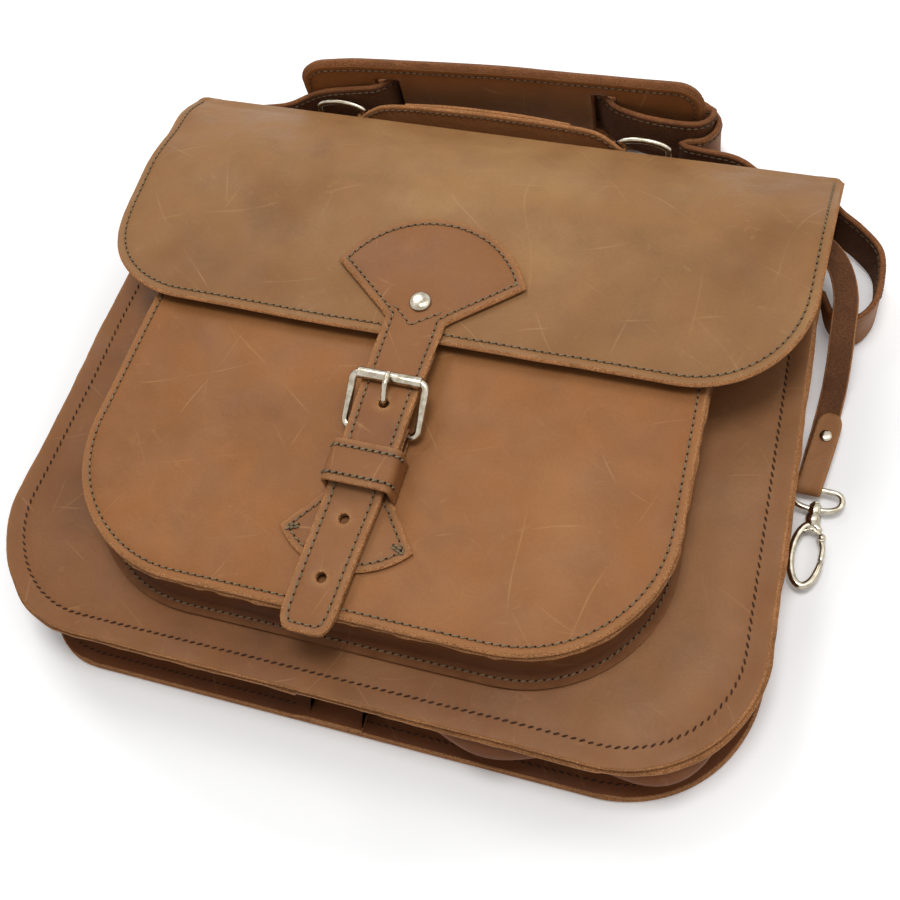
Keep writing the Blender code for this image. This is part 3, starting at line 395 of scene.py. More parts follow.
def smoothstep(x, low, high):
    # eases from 0 at low to 1 at high, which may also be the smaller of the two
    t = np.clip((x - low) / (high - low), 0, 1)
    return t * t * (3 - 2 * t)


def ripple(x, y, width, spot):
    # slow noise, from -1 to 1, whose waves are about as wide as width
    return noise.noise((x / width, y / width, spot))


def frontTop(x, y):
    return bag["depth"] - bag["topLoss"] * y / bag["height"] + 0 * x


def pocketTop(x, y):
    return pocket["level"] - pocket["loss"] * (y - pocket["bottom"]) + 0 * x


def bagHalf(y):
    share = (y - bag["corner"]) / (bag["height"] - bag["corner"])
    return bag["halfBottom"] + (bag["halfTop"] - bag["halfBottom"]) * share


def pocketHalf(y):
    low = pocket["bottom"] + pocket["corner"]
    return pocket["halfBottom"] + (pocket["halfTop"] - pocket["halfBottom"]) * (y - low) / (bag["height"] - low)


def roundBottomed(half, bottom, top, radius, inset=0.0, steps=18):
    # an outline with two round corners below; half(y) is half its width
    low = bottom + radius
    reach, small = half(low) - inset, radius - inset
    side = []
    for step in range(steps + 1):
        a = math.radians(-90 + 90 * step / steps)
        side.append((reach - small + small * math.cos(a), low + small * math.sin(a)))
    side.append((half(top) - inset, top))
    return side + [(-x, y) for x, y in reversed(side)]


def relaxed(points):
    # old soft leather: slow swells that die out at the table, at the buckle and at the rings
    result = np.array(points, float)
    x, y, z = result.T
    lift = smoothstep(z, 5, 32)
    for xMid, xReach, xPower, yMid, yReach, yPower in slump["still"]:
        lift = lift * (1 - np.exp(-((np.abs(x) - xMid) / xReach) ** xPower - ((y - yMid) / yReach) ** yPower))
    swell = np.array([sum(high * ripple(px, py, wide, spot) for high, wide, spot in slump["swells"])
                      for px, py in zip(x, y)])
    onFlapNow = smoothstep(y, 150, 200) * smoothstep(z, 44, 60)
    droop = smoothstep(x, -118, -168) * onFlapNow
    raised = smoothstep(x, 95, 160) * onFlapNow
    for axis, move, *ranges in slump["moves"]:
        for along, low, high in ranges:
            move = move * smoothstep(result[:, along], low, high)
        result[:, axis] += move
    result[:, 0] += slump["droopIn"] * droop * smoothstep(y, 285, 235)
    result[:, 2] += lift * swell - slump["droop"] * droop + slump["raised"] * raised
    return result


def located(points):
    # from the tables' millimetres to the frame
    return [(x * mm, (y - middleY) * mm, z * mm) for x, y, z in points]


def makeObject(name, points, faces, slots, finishes, near=None, flat=None):
    # one closed mesh; slots gives each face its finish, flat is a place on the hide for each point
    mesh = bpy.data.meshes.new(name)
    mesh.from_pydata(located(points), [], faces)
    for finish in finishes:
        mesh.materials.append(materials[finish])
    mesh.polygons.foreach_set("material_index", slots)
    if near is not None:
        mesh.attributes.new("edgeNear", "FLOAT", "POINT").data.foreach_set("value", np.asarray(near, np.float32))
    if flat is not None:
        layer = mesh.uv_layers.new(name="hide")
        spots = np.asarray(flat, np.float32) * mm
        index = np.empty(len(mesh.loops), int)
        mesh.loops.foreach_get("vertex_index", index)
        layer.data.foreach_set("uv", spots[index].ravel())
    work = bmesh.new()
    work.from_mesh(mesh)
    bmesh.ops.recalc_face_normals(work, faces=work.faces[:])
    work.to_mesh(mesh)
    work.free()
    mesh.shade_smooth()
    piece = bpy.data.objects.new(name, mesh)
    bpy.context.scene.collection.objects.link(piece)
    return piece


def finished(piece, body, slot, *nodes):
    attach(piece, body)
    if nodes:
        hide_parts(*nodes)
    return piece


def resampled(loop, spacing, closed=True):
    # even steps along each run between sharp corners, which keep their places
    spots = [np.array(p, float) for p in loop]
    count = len(spots)
    result = []
    last = count if closed else count - 1
    run = [spots[0]]
    for i in range(1, last + 1):
        here = spots[i % count]
        run.append(here)
        after = spots[(i + 1) % count]
        a, b = here - spots[i - 1], after - here
        turn = np.dot(a, b) / (np.linalg.norm(a) * np.linalg.norm(b) + 1e-9)
        if turn < 0.85 or i == last:
            lengths = [0.0]
            for p, q in zip(run, run[1:]):
                lengths.append(lengths[-1] + np.linalg.norm(q - p))
            steps = max(1, round(lengths[-1] / spacing))
            for s in range(steps):
                t = lengths[-1] * s / steps
                k = min(np.searchsorted(lengths, t, side="right") - 1, len(run) - 2)
                share = (t - lengths[k]) / (lengths[k + 1] - lengths[k] + 1e-9)
                result.append(run[k] + (run[k + 1] - run[k]) * share)
            run = [here]
    if not closed:
        result.append(spots[-1])
    return np.array(result)


def insetLoop(loop, distance):
    # the loop moved inwards, with its corners kept
    before, after = np.roll(loop, 1, 0), np.roll(loop, -1, 0)
    a, b = loop - before, after - loop
    a /= np.linalg.norm(a, axis=1)[:, None] + 1e-9
    b /= np.linalg.norm(b, axis=1)[:, None] + 1e-9
    normal = np.stack([-(a[:, 1] + b[:, 1]), a[:, 0] + b[:, 0]], 1)
    normal /= np.linalg.norm(normal, axis=1)[:, None] + 1e-9
    lean = np.clip(normal[:, 0] * -a[:, 1] + normal[:, 1] * a[:, 0], 0.5, 1)
    return loop + normal * (distance / lean)[:, None]


def insideLoop(points, loop):
    # which of the points lie inside the loop
    x, y = points[:, 0], points[:, 1]
    inside = np.zeros(len(points), bool)
    for (x0, y0), (x1, y1) in zip(loop, np.roll(loop, -1, 0)):
        crosses = (y0 > y) != (y1 > y)
        inside ^= crosses & (x < (x1 - x0) * (y - y0) / (y1 - y0 + 1e-12) + x0)
    return inside


def edgeDistance(points, loops):
    # how far each point is from the nearest of the loops
    best = np.full(len(points), 1e9)
    for loop in loops:
        for p, q in zip(loop, np.roll(loop, -1, 0)):
            d = q - p
            t = np.clip(((points - p) @ d) / (d @ d + 1e-12), 0, 1)
            best = np.minimum(best, np.linalg.norm(points - p - t[:, None] * d, axis=1))
    return best


def cutPlan(outline, holes, step, spacing, insets):
    # the flat cut as triangles: rows of points along its edges, a loose grid inside, and its holes;
    # a hole is a circle's centre and radius or an outline
    loop = resampled(outline, spacing)
    area = np.sum(loop[:, 0] * np.roll(loop[:, 1], -1) - np.roll(loop[:, 0], -1) * loop[:, 1])
    if area < 0:
        loop = loop[::-1]
    loops = [loop] + [insetLoop(loop, d) for d in insets]
    rims = [loop]
    for hole in holes:
        if len(hole) == 3:
            x, y, radius = hole
            turn = np.arange(16) * 2 * math.pi / 16
            ring = np.stack([x + radius * np.cos(turn), y + radius * np.sin(turn)], 1)
        else:
            ring = resampled(hole, spacing)
        rims.append(ring[::-1])
        loops.append(ring[::-1])
        loops.append(insetLoop(ring[::-1], 0.5))
    low, high = loop.min(0), loop.max(0)
    xs = np.arange(low[0], high[0], step)
    ys = np.arange(low[1], high[1], step * 0.866)
    grid = np.array([(x + (step / 2 if j % 2 else 0), y) for j, y in enumerate(ys) for x in xs])
    clearOf = edgeDistance(grid, rims[:1])
    nearHole = edgeDistance(grid, rims[1:]) if holes else clearOf
    inHole = np.zeros(len(grid), bool)
    for ring in rims[1:]:
        inHole |= insideLoop(grid, ring)
    grid = grid[insideLoop(grid, loop) & (clearOf > insets[-1] + step * 0.45) & (nearHole > 1.2) & ~inHole]
    spots, edges = [], []
    for ring in loops:
        start = len(spots)
        spots += [tuple(p) for p in ring]
        edges += [(start + i, start + (i + 1) % len(ring)) for i in range(len(ring))]
    spots += [tuple(p) for p in grid]
    found = geometry.delaunay_2d_cdt([Vector(p) for p in spots], edges, [], 0, 1e-5)
    flat = np.array([tuple(v) for v in found[0]])
    triangles = np.array([f for f in found[2] if len(f) == 3])
    middles = flat[triangles].mean(1)
    keep = insideLoop(middles, loop)
    for ring in rims[1:]:
        keep &= ~insideLoop(middles, ring)
    triangles = triangles[keep]
    a, b, c = flat[triangles[:, 0]], flat[triangles[:, 1]], flat[triangles[:, 2]]
    turned = (b[:, 0] - a[:, 0]) * (c[:, 1] - a[:, 1]) - (b[:, 1] - a[:, 1]) * (c[:, 0] - a[:, 0]) < 0
    triangles[turned] = triangles[turned][:, ::-1]
    where = {old: new for new, olds in enumerate(found[3]) for old in olds}
    return rims, flat, triangles, where


def sheet(name, outline, surface, thickness, finishes, holes=(), step=4.0, spacing=2.6, seam=None):
    # a cut piece of leather: surface(x, y) gives its outer face, thickness is a number or a function
    bevel, beside = edge["bevel"], edge["seamHalf"]
    insets = [bevel, bevel + edge["shoulder"]]
    insets += [seam - beside, seam, seam + beside] if seam else [edge["plain"]]
    rims, flat, triangles, where = cutPlan(outline, holes, step, spacing, insets)
    loop = rims[0]
    distance = edgeDistance(flat, rims)
    x, y = flat.T
    outer = surface(x, y)
    eps = 0.4
    along = surface(x + eps, y) - surface(x - eps, y)
    up = surface(x, y + eps) - surface(x, y - eps)
    normal = np.cross(along, up)
    normal /= np.linalg.norm(normal, axis=1)[:, None] + 1e-12
    thick = thickness(x, y) if callable(thickness) else np.full(len(x), float(thickness))
    ragged = np.array([ripple(px, py, 1.9, 5.1) for px, py in flat])
    rounding = edge["drop"] * thick * np.clip(1 - distance / bevel, 0, 1) * (1 + 0.5 * ragged)
    groove = edge["groove"] * np.exp(-((distance - seam) / edge["grooveHalf"]) ** 2) if seam else 0
    top = outer - normal * (rounding + groove)[:, None]
    bottom = outer - normal * (thick - rounding)[:, None]
    count = len(flat)
    points = [top, bottom]
    total = 2 * count
    faces = [tuple(t) for t in triangles] + [tuple(count + i for i in t[::-1]) for t in triangles]
    cutFace = (distance[triangles] < bevel + 0.05).all(1)
    slots = list(np.where(cutFace, 2, 0)) + list(np.where(cutFace, 2, 1))
    near = list(np.exp(-distance / 3.5)) * 2
    extra = []
    spans = [(0, len(loop))]
    offset = len(loop) * (1 + len(insets))
    for ring in rims[1:]:
        spans.append((offset, len(ring)))
        offset += 2 * len(ring)
    for first, size in spans:
        ids = [where[first + i] for i in range(size)]
        ring = flat[ids]
        outward = ring - insetLoop(ring, 1.0)
        outward3 = outward[:, :1] * along[ids] / (2 * eps) + outward[:, 1:] * up[ids] / (2 * eps)
        a, b = top[ids], bottom[ids]
        bulge = (0.10 * thick[ids])[:, None] * outward3
        points += [a * 0.7 + b * 0.3 + bulge, a * 0.3 + b * 0.7 + bulge]
        one, two = total, total + size
        total += 2 * size
        near += [1.0] * (2 * size)
        extra += [flat[ids], flat[ids]]
        for i in range(size):
            j = (i + 1) % size
            faces += [(ids[i], one + i, one + j, ids[j]), (one + i, two + i, two + j, one + j),
                      (two + i, count + ids[i], count + ids[j], two + j)]
            slots += [2] * 3
    points = relaxed(np.concatenate(points))
    places = np.concatenate([flat, flat] + extra)
    piece = makeObject(name, points, faces, slots, finishes, near, places)
    return piece, loop


def seamLine(loop, inset, surface, keep=lambda x, y: True, lift=0.1):
    # runs of points for stitches, inset from a cut edge and lying on its surface
    ring = insetLoop(loop, inset)
    wanted = [bool(keep(x, y)) for x, y in ring]
    runs, run = [], []
    start = next((i for i, w in enumerate(wanted) if not w), 0)
    for k in range(len(ring)):
        i = (start + k) % len(ring)
        if wanted[i]:
            run.append(ring[i])
        elif run:
            runs.append(run)
            run = []
    if run:
        runs.append(run)
        if all(wanted):
            runs[-1].append(ring[start])
    return [onSurface(np.array(run), surface, lift) for run in runs if len(run) > 1]


def onSurface(spots, surface, lift=0.1):
    # a run of flat spots laid on a surface, just above the leather
    points = surface(spots[:, 0], spots[:, 1])
    points[:, 2] += lift
    return relaxed(points)


def heightMap(height):
    def surface(x, y):
        return np.stack([x, y, height(x, y)], 1)
    return surface


def catmull(points, spacing=2.5):
    # a smooth curve through the points; only x, y and z set the spacing, and other values run along with them
    spots = [np.array(p, float) for p in points]
    spots = [2 * spots[0] - spots[1]] + spots + [2 * spots[-1] - spots[-2]]
    curve = []
    for i in range(1, len(spots) - 2):
        a, b, c, d = spots[i - 1:i + 3]
        steps = max(1, int(round(np.linalg.norm(c[:3] - b[:3]) / spacing)))
        for s in range(steps):
            t = s / steps
            curve.append(0.5 * (2 * b + (c - a) * t + (2 * a - 5 * b + 4 * c - d) * t * t
                                + (3 * b - a - 3 * c + d) * t ** 3))
    curve.append(spots[-2])
    return np.array(curve)


def directions(points, closed=False):
    # unit vectors along a run of points
    before = np.roll(points, 1, 0)
    after = np.roll(points, -1, 0)
    if not closed:
        before[0], after[-1] = points[0], points[-1]
    along = after - before
    return along / (np.linalg.norm(along, axis=1)[:, None] + 1e-12)


def bandFrames(points, across):
    # along a band, straight across it, and out of its face
    along = directions(points)
    wide = np.asarray(across, float) * np.ones_like(points)
    wide = wide - along * np.sum(wide * along, 1)[:, None]
    wide /= np.linalg.norm(wide, axis=1)[:, None] + 1e-12
    return along, wide, np.cross(along, wide)


def runLength(points):
    return np.concatenate([[0], np.cumsum(np.linalg.norm(np.diff(points, axis=0), axis=1))])


def skin(count, size, closed=False):
    # the faces round a row of like rings, then a fan over each end, whose middle points come after the rings
    faces = []
    for i in range(count if closed else count - 1):
        j = (i + 1) % count
        faces += [(i * size + k, i * size + (k + 1) % size, j * size + (k + 1) % size, j * size + k)
                  for k in range(size)]
    if not closed:
        for middle, end in enumerate((0, count - 1), count * size):
            faces += [(end * size + k, end * size + (k + 1) % size, middle) for k in range(size)]
    return faces


def band(name, points, across, widths, thick, finishes, seam=None, move=relaxed):
    # a flat strap along points, with rounded cut edges and a pressed line where it is sewn
    points = np.asarray(points, float)
    widths = np.ones(len(points)) * widths
    _, wide, normal = bandFrames(points, across)
    half = np.array(widths) / 2
    ease = 0.35 * thick
    if seam:
        tops = [(0.0, 0.0), (seam + 1.6, 0.0), (seam + 0.8, 0.05), (seam, -0.3), (seam - 0.8, 0.05), (ease, 0.0)]
    else:
        tops = [(0.0, 0.0), (4.0, 0.0), (1.6, 0.0), (ease, 0.0)]
    section = []
    for inset, lift in tops:
        a = np.zeros(len(points)) if inset == 0 else np.maximum(half - inset, half * 0.12)
        section.append((a, np.full(len(points), thick / 2 + lift), inset if inset else 9.0))
    right = section + [(half - 0.08 * thick, np.full(len(points), thick * 0.28), 0.0)]
    right.append((half, np.zeros(len(points)), 0.0))
    ring = list(right)
    ring += [(a, -b, c) for a, b, c in reversed(right[:-1])]
    ring += [(-a, b, c) for a, b, c in [(p[0], -p[1], p[2]) for p in right[1:]]]
    ring += [(-a, b, c) for a, b, c in reversed(right[1:-1])]
    rows, near, flat = [], [], []
    run = runLength(points)
    for a, b, inset in ring:
        rows.append(points + wide * a[:, None] + normal * b[:, None])
        near.append(np.full(len(points), math.exp(-inset / 3.0)))
        flat.append(np.stack([run, a], 1))
    size, count = len(ring), len(points)
    block = np.vstack([np.stack(rows, 1).reshape(-1, 3), points[[0, -1]]])
    nears = np.append(np.stack(near, 1).ravel(), [1.0, 1.0])
    flats = np.vstack([np.stack(flat, 1).reshape(-1, 2), [(run[0], 0), (run[-1], 0)]])
    # a strip is cut edge where it's low on the side, else grain or flesh
    heights = [b[0] for _, b, _ in ring]
    low = [abs(height) <= thick * 0.3 for height in heights]
    strips = [2 if low[k] or low[(k + 1) % size] else (0 if heights[k] > 0 else 1) for k in range(size)]
    slots = strips * (count - 1) + [2] * (2 * size)
    return makeObject(name, move(block) if move else block, skin(count, size), slots, finishes, nears, flats)


def bandSeam(points, across, widths, thick, inset, side=1, face=1, start=0.0, end=0.0, lift=0.1, move=relaxed):
    # a row of stitches along a band, inset from the edge on one side, on its upper (1) or lower (-1) face
    points = np.asarray(points, float)
    _, wide, normal = bandFrames(points, across)
    half = np.ones(len(points)) * widths / 2
    line = points + wide * (side * (half - inset))[:, None] + normal * (face * (thick / 2 + lift))
    run = runLength(points)
    line = line[(run >= start) & (run <= run[-1] - end)]
    return move(line) if move else line


def loft(name, rings, finishes, slots, closed=False, near=None, move=relaxed):
    # skins a row of like rings; slots gives the finish of each strip round the ring
    block = np.array(rings, float)
    count, size = block.shape[:2]
    points = block.reshape(-1, 3)
    nears = np.tile(near, count) if near is not None else np.zeros(len(points))
    kinds = list(slots) * (count if closed else count - 1)
    if not closed:
        points = np.vstack([points, block[0].mean(0), block[-1].mean(0)])
        nears = np.append(nears, [1.0, 1.0])
        kinds += [len(finishes) - 1] * (2 * size)
    return makeObject(name, move(points) if move else points, skin(count, size, closed), kinds, finishes, nears)


def turns(sides):
    return [2 * math.pi * k / sides for k in range(sides)]


def wire(name, points, radius, closed=False, hint=(0, 0, 1), sides=18):
    # a round rod along points, of one radius or one for each point
    points = np.asarray(points, float)
    along = directions(points, closed)
    side = np.cross(along, np.asarray(hint, float))
    side /= np.linalg.norm(side, axis=1)[:, None] + 1e-12
    up = np.cross(side, along)
    radii = np.ones(len(points)) * radius
    rings = [[p + r * (s * math.cos(t) + u * math.sin(t)) for t in turns(sides)]
             for p, s, u, r in zip(points, side, up, radii)]
    return loft(name, rings, ["nickelPlate"], [0] * sides, closed, move=None)


def lathe(name, start, axis, profile, sides=28, closed=False):
    # turned metal: the profile gives radii and how far along the axis they are
    axis = Vector(axis).normalized()
    side = axis.orthogonal().normalized()
    other = axis.cross(side)
    rings = []
    for radius, distance in profile:
        rings.append([Vector(start) + axis * distance + radius * (side * math.cos(a) + other * math.sin(a))
                      for a in turns(sides)])
    return loft(name, rings, ["nickelPlate"], [0] * sides, closed, move=None)


# Stitches: one Geometry Nodes tree for every seam
# holes switches on the dots of painted shade at the awl's holes
thread = {"pitch": 3.3, "length": 2.9, "thick": 0.8, "slant": 17.0, "holes": 1.0, "seed": 7}


def stitchTree():
    # a bead of thread at every second point of the resampled seam, and at the points between a dark dot of painted
    # shade where an awl's hole is
    tree = bpy.data.node_groups.new("saddleStitch", "GeometryNodeTree")
    tree.interface.new_socket("Geometry", in_out="INPUT", socket_type="NodeSocketGeometry")
    for label in ("Pitch", "Length", "Thickness", "Slant", "Holes"):
        tree.interface.new_socket(label, in_out="INPUT", socket_type="NodeSocketFloat")
    tree.interface.new_socket("Seed", in_out="INPUT", socket_type="NodeSocketInt")
    for label in ("Thread", "Puncture"):
        tree.interface.new_socket(label, in_out="INPUT", socket_type="NodeSocketMaterial")
    tree.interface.new_socket("Geometry", in_out="OUTPUT", socket_type="NodeSocketGeometry")
    entry = addNode(tree, "NodeGroupInput").outputs
    half = addNode(tree, "ShaderNodeMath", {0: entry["Pitch"], 1: 0.5}, operation="MULTIPLY")
    spaced = addNode(tree, "GeometryNodeResampleCurve", {"Curve": entry["Geometry"], "Length": half.outputs[0]},
                     mode="LENGTH")
    index = addNode(tree, "GeometryNodeInputIndex")
    odd = addNode(tree, "ShaderNodeMath", {0: index.outputs[0], 1: 2.0}, operation="MODULO")
    even = addNode(tree, "ShaderNodeMath", {0: 1.0, 1: odd.outputs[0]}, operation="SUBTRACT")
    holeShadeSpots = addNode(tree, "ShaderNodeMath", {0: odd.outputs[0], 1: entry["Holes"]}, operation="MULTIPLY")
    tangent = addNode(tree, "GeometryNodeInputTangent")
    turn = addNode(tree, "FunctionNodeAlignRotationToVector", {"Vector": tangent.outputs[0]}, axis="X")
    lean = addNode(tree, "ShaderNodeCombineXYZ", {"Z": entry["Slant"]})
    slanted = addNode(tree, "FunctionNodeRotateRotation",
                      {"Rotation": turn.outputs[0], "Rotate By": lean.outputs[0]}, rotation_space="LOCAL")
    jitter = addNode(tree, "FunctionNodeRandomValue", {2: 0.88, 3: 1.08, "Seed": entry["Seed"]})
    longer = addNode(tree, "ShaderNodeMath", {0: entry["Length"], 1: jitter.outputs[1]}, operation="MULTIPLY")
    size = addNode(tree, "ShaderNodeCombineXYZ", {"X": longer.outputs[0], "Y": entry["Thickness"],
                                                  "Z": entry["Thickness"]})
    dot = addNode(tree, "ShaderNodeMath", {0: entry["Thickness"], 1: 1.15}, operation="MULTIPLY")
    low = addNode(tree, "ShaderNodeMath", {0: entry["Thickness"], 1: 0.45}, operation="MULTIPLY")
    holeShadeSize = addNode(tree, "ShaderNodeCombineXYZ",
                      {"X": dot.outputs[0], "Y": dot.outputs[0], "Z": low.outputs[0]})
    joined = addNode(tree, "GeometryNodeJoinGeometry")
    # the second branch lays the dots of painted shade for the awl's holes
    for chosen, rotation, scale, label, ball in ((even, slanted, size, "Thread", (7, 5)),
                                                 (holeShadeSpots, turn, holeShadeSize, "Puncture", (6, 4))):
        bead = addNode(tree, "GeometryNodeMeshUVSphere", {"Segments": ball[0], "Rings": ball[1], "Radius": 0.5})
        placed = addNode(tree, "GeometryNodeInstanceOnPoints", {
            "Points": spaced.outputs[0], "Selection": chosen.outputs[0], "Instance": bead.outputs[0],
            "Rotation": rotation.outputs[0], "Scale": scale.outputs[0]})
        real = addNode(tree, "GeometryNodeRealizeInstances", {"Geometry": placed.outputs[0]})
        coloured = addNode(tree, "GeometryNodeSetMaterial",
                           {"Geometry": real.outputs[0], "Material": entry[label]})
        tree.links.new(coloured.outputs[0], joined.inputs[0])
    smooth = addNode(tree, "GeometryNodeSetShadeSmooth", {"Geometry": joined.outputs[0]})
    addNode(tree, "NodeGroupOutput", {"Geometry": smooth.outputs[0]})
    return tree


stitchNodes = stitchTree()


def stitches(name, runs, body, slot, tone="khakiThread", **changes):
    # sews along the runs; changes are this seam's own values of thread
    sizes = {**thread, **changes}
    curve = bpy.data.curves.new(name + "Path", "CURVE")
    curve.dimensions = "3D"
    for run in runs:
        line = curve.splines.new("POLY")
        line.points.add(len(run) - 1)
        for point, (x, y, z) in zip(line.points, located(run)):
            point.co = (x, y, z, 1)
    path = bpy.data.objects.new(name + "Path", curve)
    bpy.context.scene.collection.objects.link(path)
    change = path.modifiers.new("sew", "NODES")
    change.node_group = stitchNodes
    values = {
        "Pitch": sizes["pitch"] * mm, "Length": sizes["length"] * mm, "Thickness": sizes["thick"] * mm,
        "Slant": math.radians(sizes["slant"]), "Holes": sizes["holes"], "Seed": sizes["seed"],
        "Thread": materials[tone], "Puncture": materials["needleHole"],
    }
    for item in stitchNodes.interface.items_tree:
        if item.in_out == "INPUT" and item.name in values:
            change[item.identifier] = values[item.name]
    shape = path.evaluated_get(bpy.context.evaluated_depsgraph_get())
    mesh = bpy.data.meshes.new_from_object(shape)
    bpy.data.objects.remove(path, do_unlink=True)
    piece = bpy.data.objects.new(name, mesh)
    bpy.context.scene.collection.objects.link(piece)
    if body:
        finished(piece, body, slot)
    return piece


# What the leather pieces are made of: grain side, flesh side, cut edge
flapLayers = ["flapHide", "suedeBack", "rawEdge"]
pocketLayers = ["pocketHide", "suedeBack", "rawEdge"]
frontLayers = ["bodyHide", "suedeBack", "rawEdge"]
backLayers = ["suedeBack", "bodyHide", "rawEdge"]
# the gusset's grain side carries painted shade: its hide is darkened for the recesses it lines
gussetLayers = ["gussetHide", "suedeBack", "rawEdge"]
strapLayers = ["strapHide", "suedeBack", "rawEdge"]
padLayers = ["pocketHide", "bodyHide", "darkEdge"]
longStrapLayers = ["suedeBack", "strapHide", "darkEdge"]


# The bag's panels and gusset
panelSeam = {"inset": 9.0, "stop": 4.0}
panelThread = {"pitch": 3.4, "length": 2.9, "thick": 0.82, "slant": 24.0, "holes": 0.0}


def makePanels():
    back = roundBottomed(bagHalf, 0, bag["height"], bag["corner"])
    backFace = heightMap(lambda x, y: bag["leather"] + 0 * x)
    piece, _ = sheet("backPanel", back, backFace, bag["leather"], backLayers, step=7.0)
    finished(piece, "bag", "body_leather", "back_panel")
    front = roundBottomed(bagHalf, 0, bag["frontHeight"], bag["corner"])
    frontFace = heightMap(frontTop)
    piece, loop = sheet("frontPanel", front, frontFace, bag["leather"], frontLayers, seam=panelSeam["inset"])
    finished(piece, "bag", "body_leather", "front_panel")
    runs = seamLine(loop, panelSeam["inset"], frontFace, lambda x, y: y < bag["frontHeight"] - panelSeam["stop"])
    stitches("frontSeam", runs, "bag", "body_leather", "darkThread", **panelThread)


gusset = {
    "fold": 3.0,  # radius of the folds between the wall and its flanges
    "middle": (0.2, 0.36, 0.5, 0.62, 0.74, 0.86),  # heights of the wall's rows, as shares
    "raw": 2.7, "rawBack": 0.6,  # how much of each flange shows the raw edge
    "flare": 1.7, "flareLeast": 0.4,  # how far the front flange stands out past the panel
    "swell": 1.2, "backSeam": 5.6,
    "push": 14.5, "pushAt": ((70.0, 12.0, 31.0), (137.0, 17.0, 26.0)),  # soft folds at x and y, and their reach
}


def gussetProfile(low, high, thick, inner, lip, frontLip):
    # a channel with turned flanges and round folds; listed as the leather's outer face, then its inner face
    fold = gusset["fold"]
    outer, inside = [], []
    faceIn = inner + thick
    for a in (0, 30, 60, 90):
        t = math.radians(a)
        outer.append((faceIn + fold - fold * math.sin(t), low + thick + fold - fold * math.cos(t)))
        inside.append((inner + fold - fold * math.sin(t), low + fold - fold * math.cos(t)))
    flat = high - low - 2 * thick - 2 * fold
    middle = [low + thick + fold + flat * share for share in gusset["middle"]]

    def side(bends, across, bottom, top):
        rows = [(lip, bottom), (lip - gusset["rawBack"], bottom)] + bends + [(across, z) for z in middle]
        rows += [(r, low + high - z) for r, z in reversed(bends)]
        return rows + [(frontLip - gusset["raw"], top), (frontLip, top)]

    return side(outer, faceIn, low + thick, high - thick), side(inside, inner, low, high)


def sweepGusset(name, path, outs, sizes):
    rings = []
    for (x, y), out, (low, high, thick, inner, lip, frontLip) in zip(path, outs, sizes):
        wall, back = gussetProfile(low, high, thick, inner, lip, frontLip)
        # two soft folds push out below the front panel's edge, on the right
        push = gusset["push"] * max(math.exp(-((x - fx) ** 2 + (y - fy) ** 2) / reach ** 2)
                                    for fx, fy, reach in gusset["pushAt"])
        ring = []
        for r, z in wall + back[::-1]:
            share = float(np.clip((z - low) / (high - low), 0, 1))
            if r < lip - 4:
                r += gusset["swell"] * math.sin(math.pi * share)
                r += push * float(smoothstep(share, 0.25, 0.68) * (1 - 0.45 * smoothstep(share, 0.78, 1.0)))
            ring.append((x + out[0] * r, y + out[1] * r, z))
        rings.append(ring)
    size = len(rings[0])
    n = size // 2
    slots = [2] + [0] * (n - 3) + [2, 2, 2] + [1] * (n - 3) + [2, 2]
    near = [math.exp(-min(k, n - 1 - k) / 0.9) if k < n else 0.2 for k in range(size)]
    return loft(name, rings, gussetLayers, slots, near=near)


def gussetPath(side):
    # down one side, round the corner and along the bottom to the far end of the lap
    top = bag["frontHeight"]
    outline = roundBottomed(bagHalf, 0, top, bag["corner"], bag["margin"], steps=16)
    half = outline[:len(outline) // 2]
    lapLow, lapHigh = bag["lap"]
    path = resampled(list(reversed(half)), 3.2, closed=False)
    path[:, 0] *= side
    cornerEnd = side * (bag["halfBottom"] - bag["corner"] - 3)
    first, last, count = (lapLow, lapHigh, 36) if side < 0 else (lapHigh, lapLow, 30)
    xs = list(np.linspace(cornerEnd, first + side * 1.5, count))
    xs += [first - side * step for step in (0, 6, 12, 18)] + [last]
    return np.vstack([path, [(x, bag["margin"]) for x in xs]])


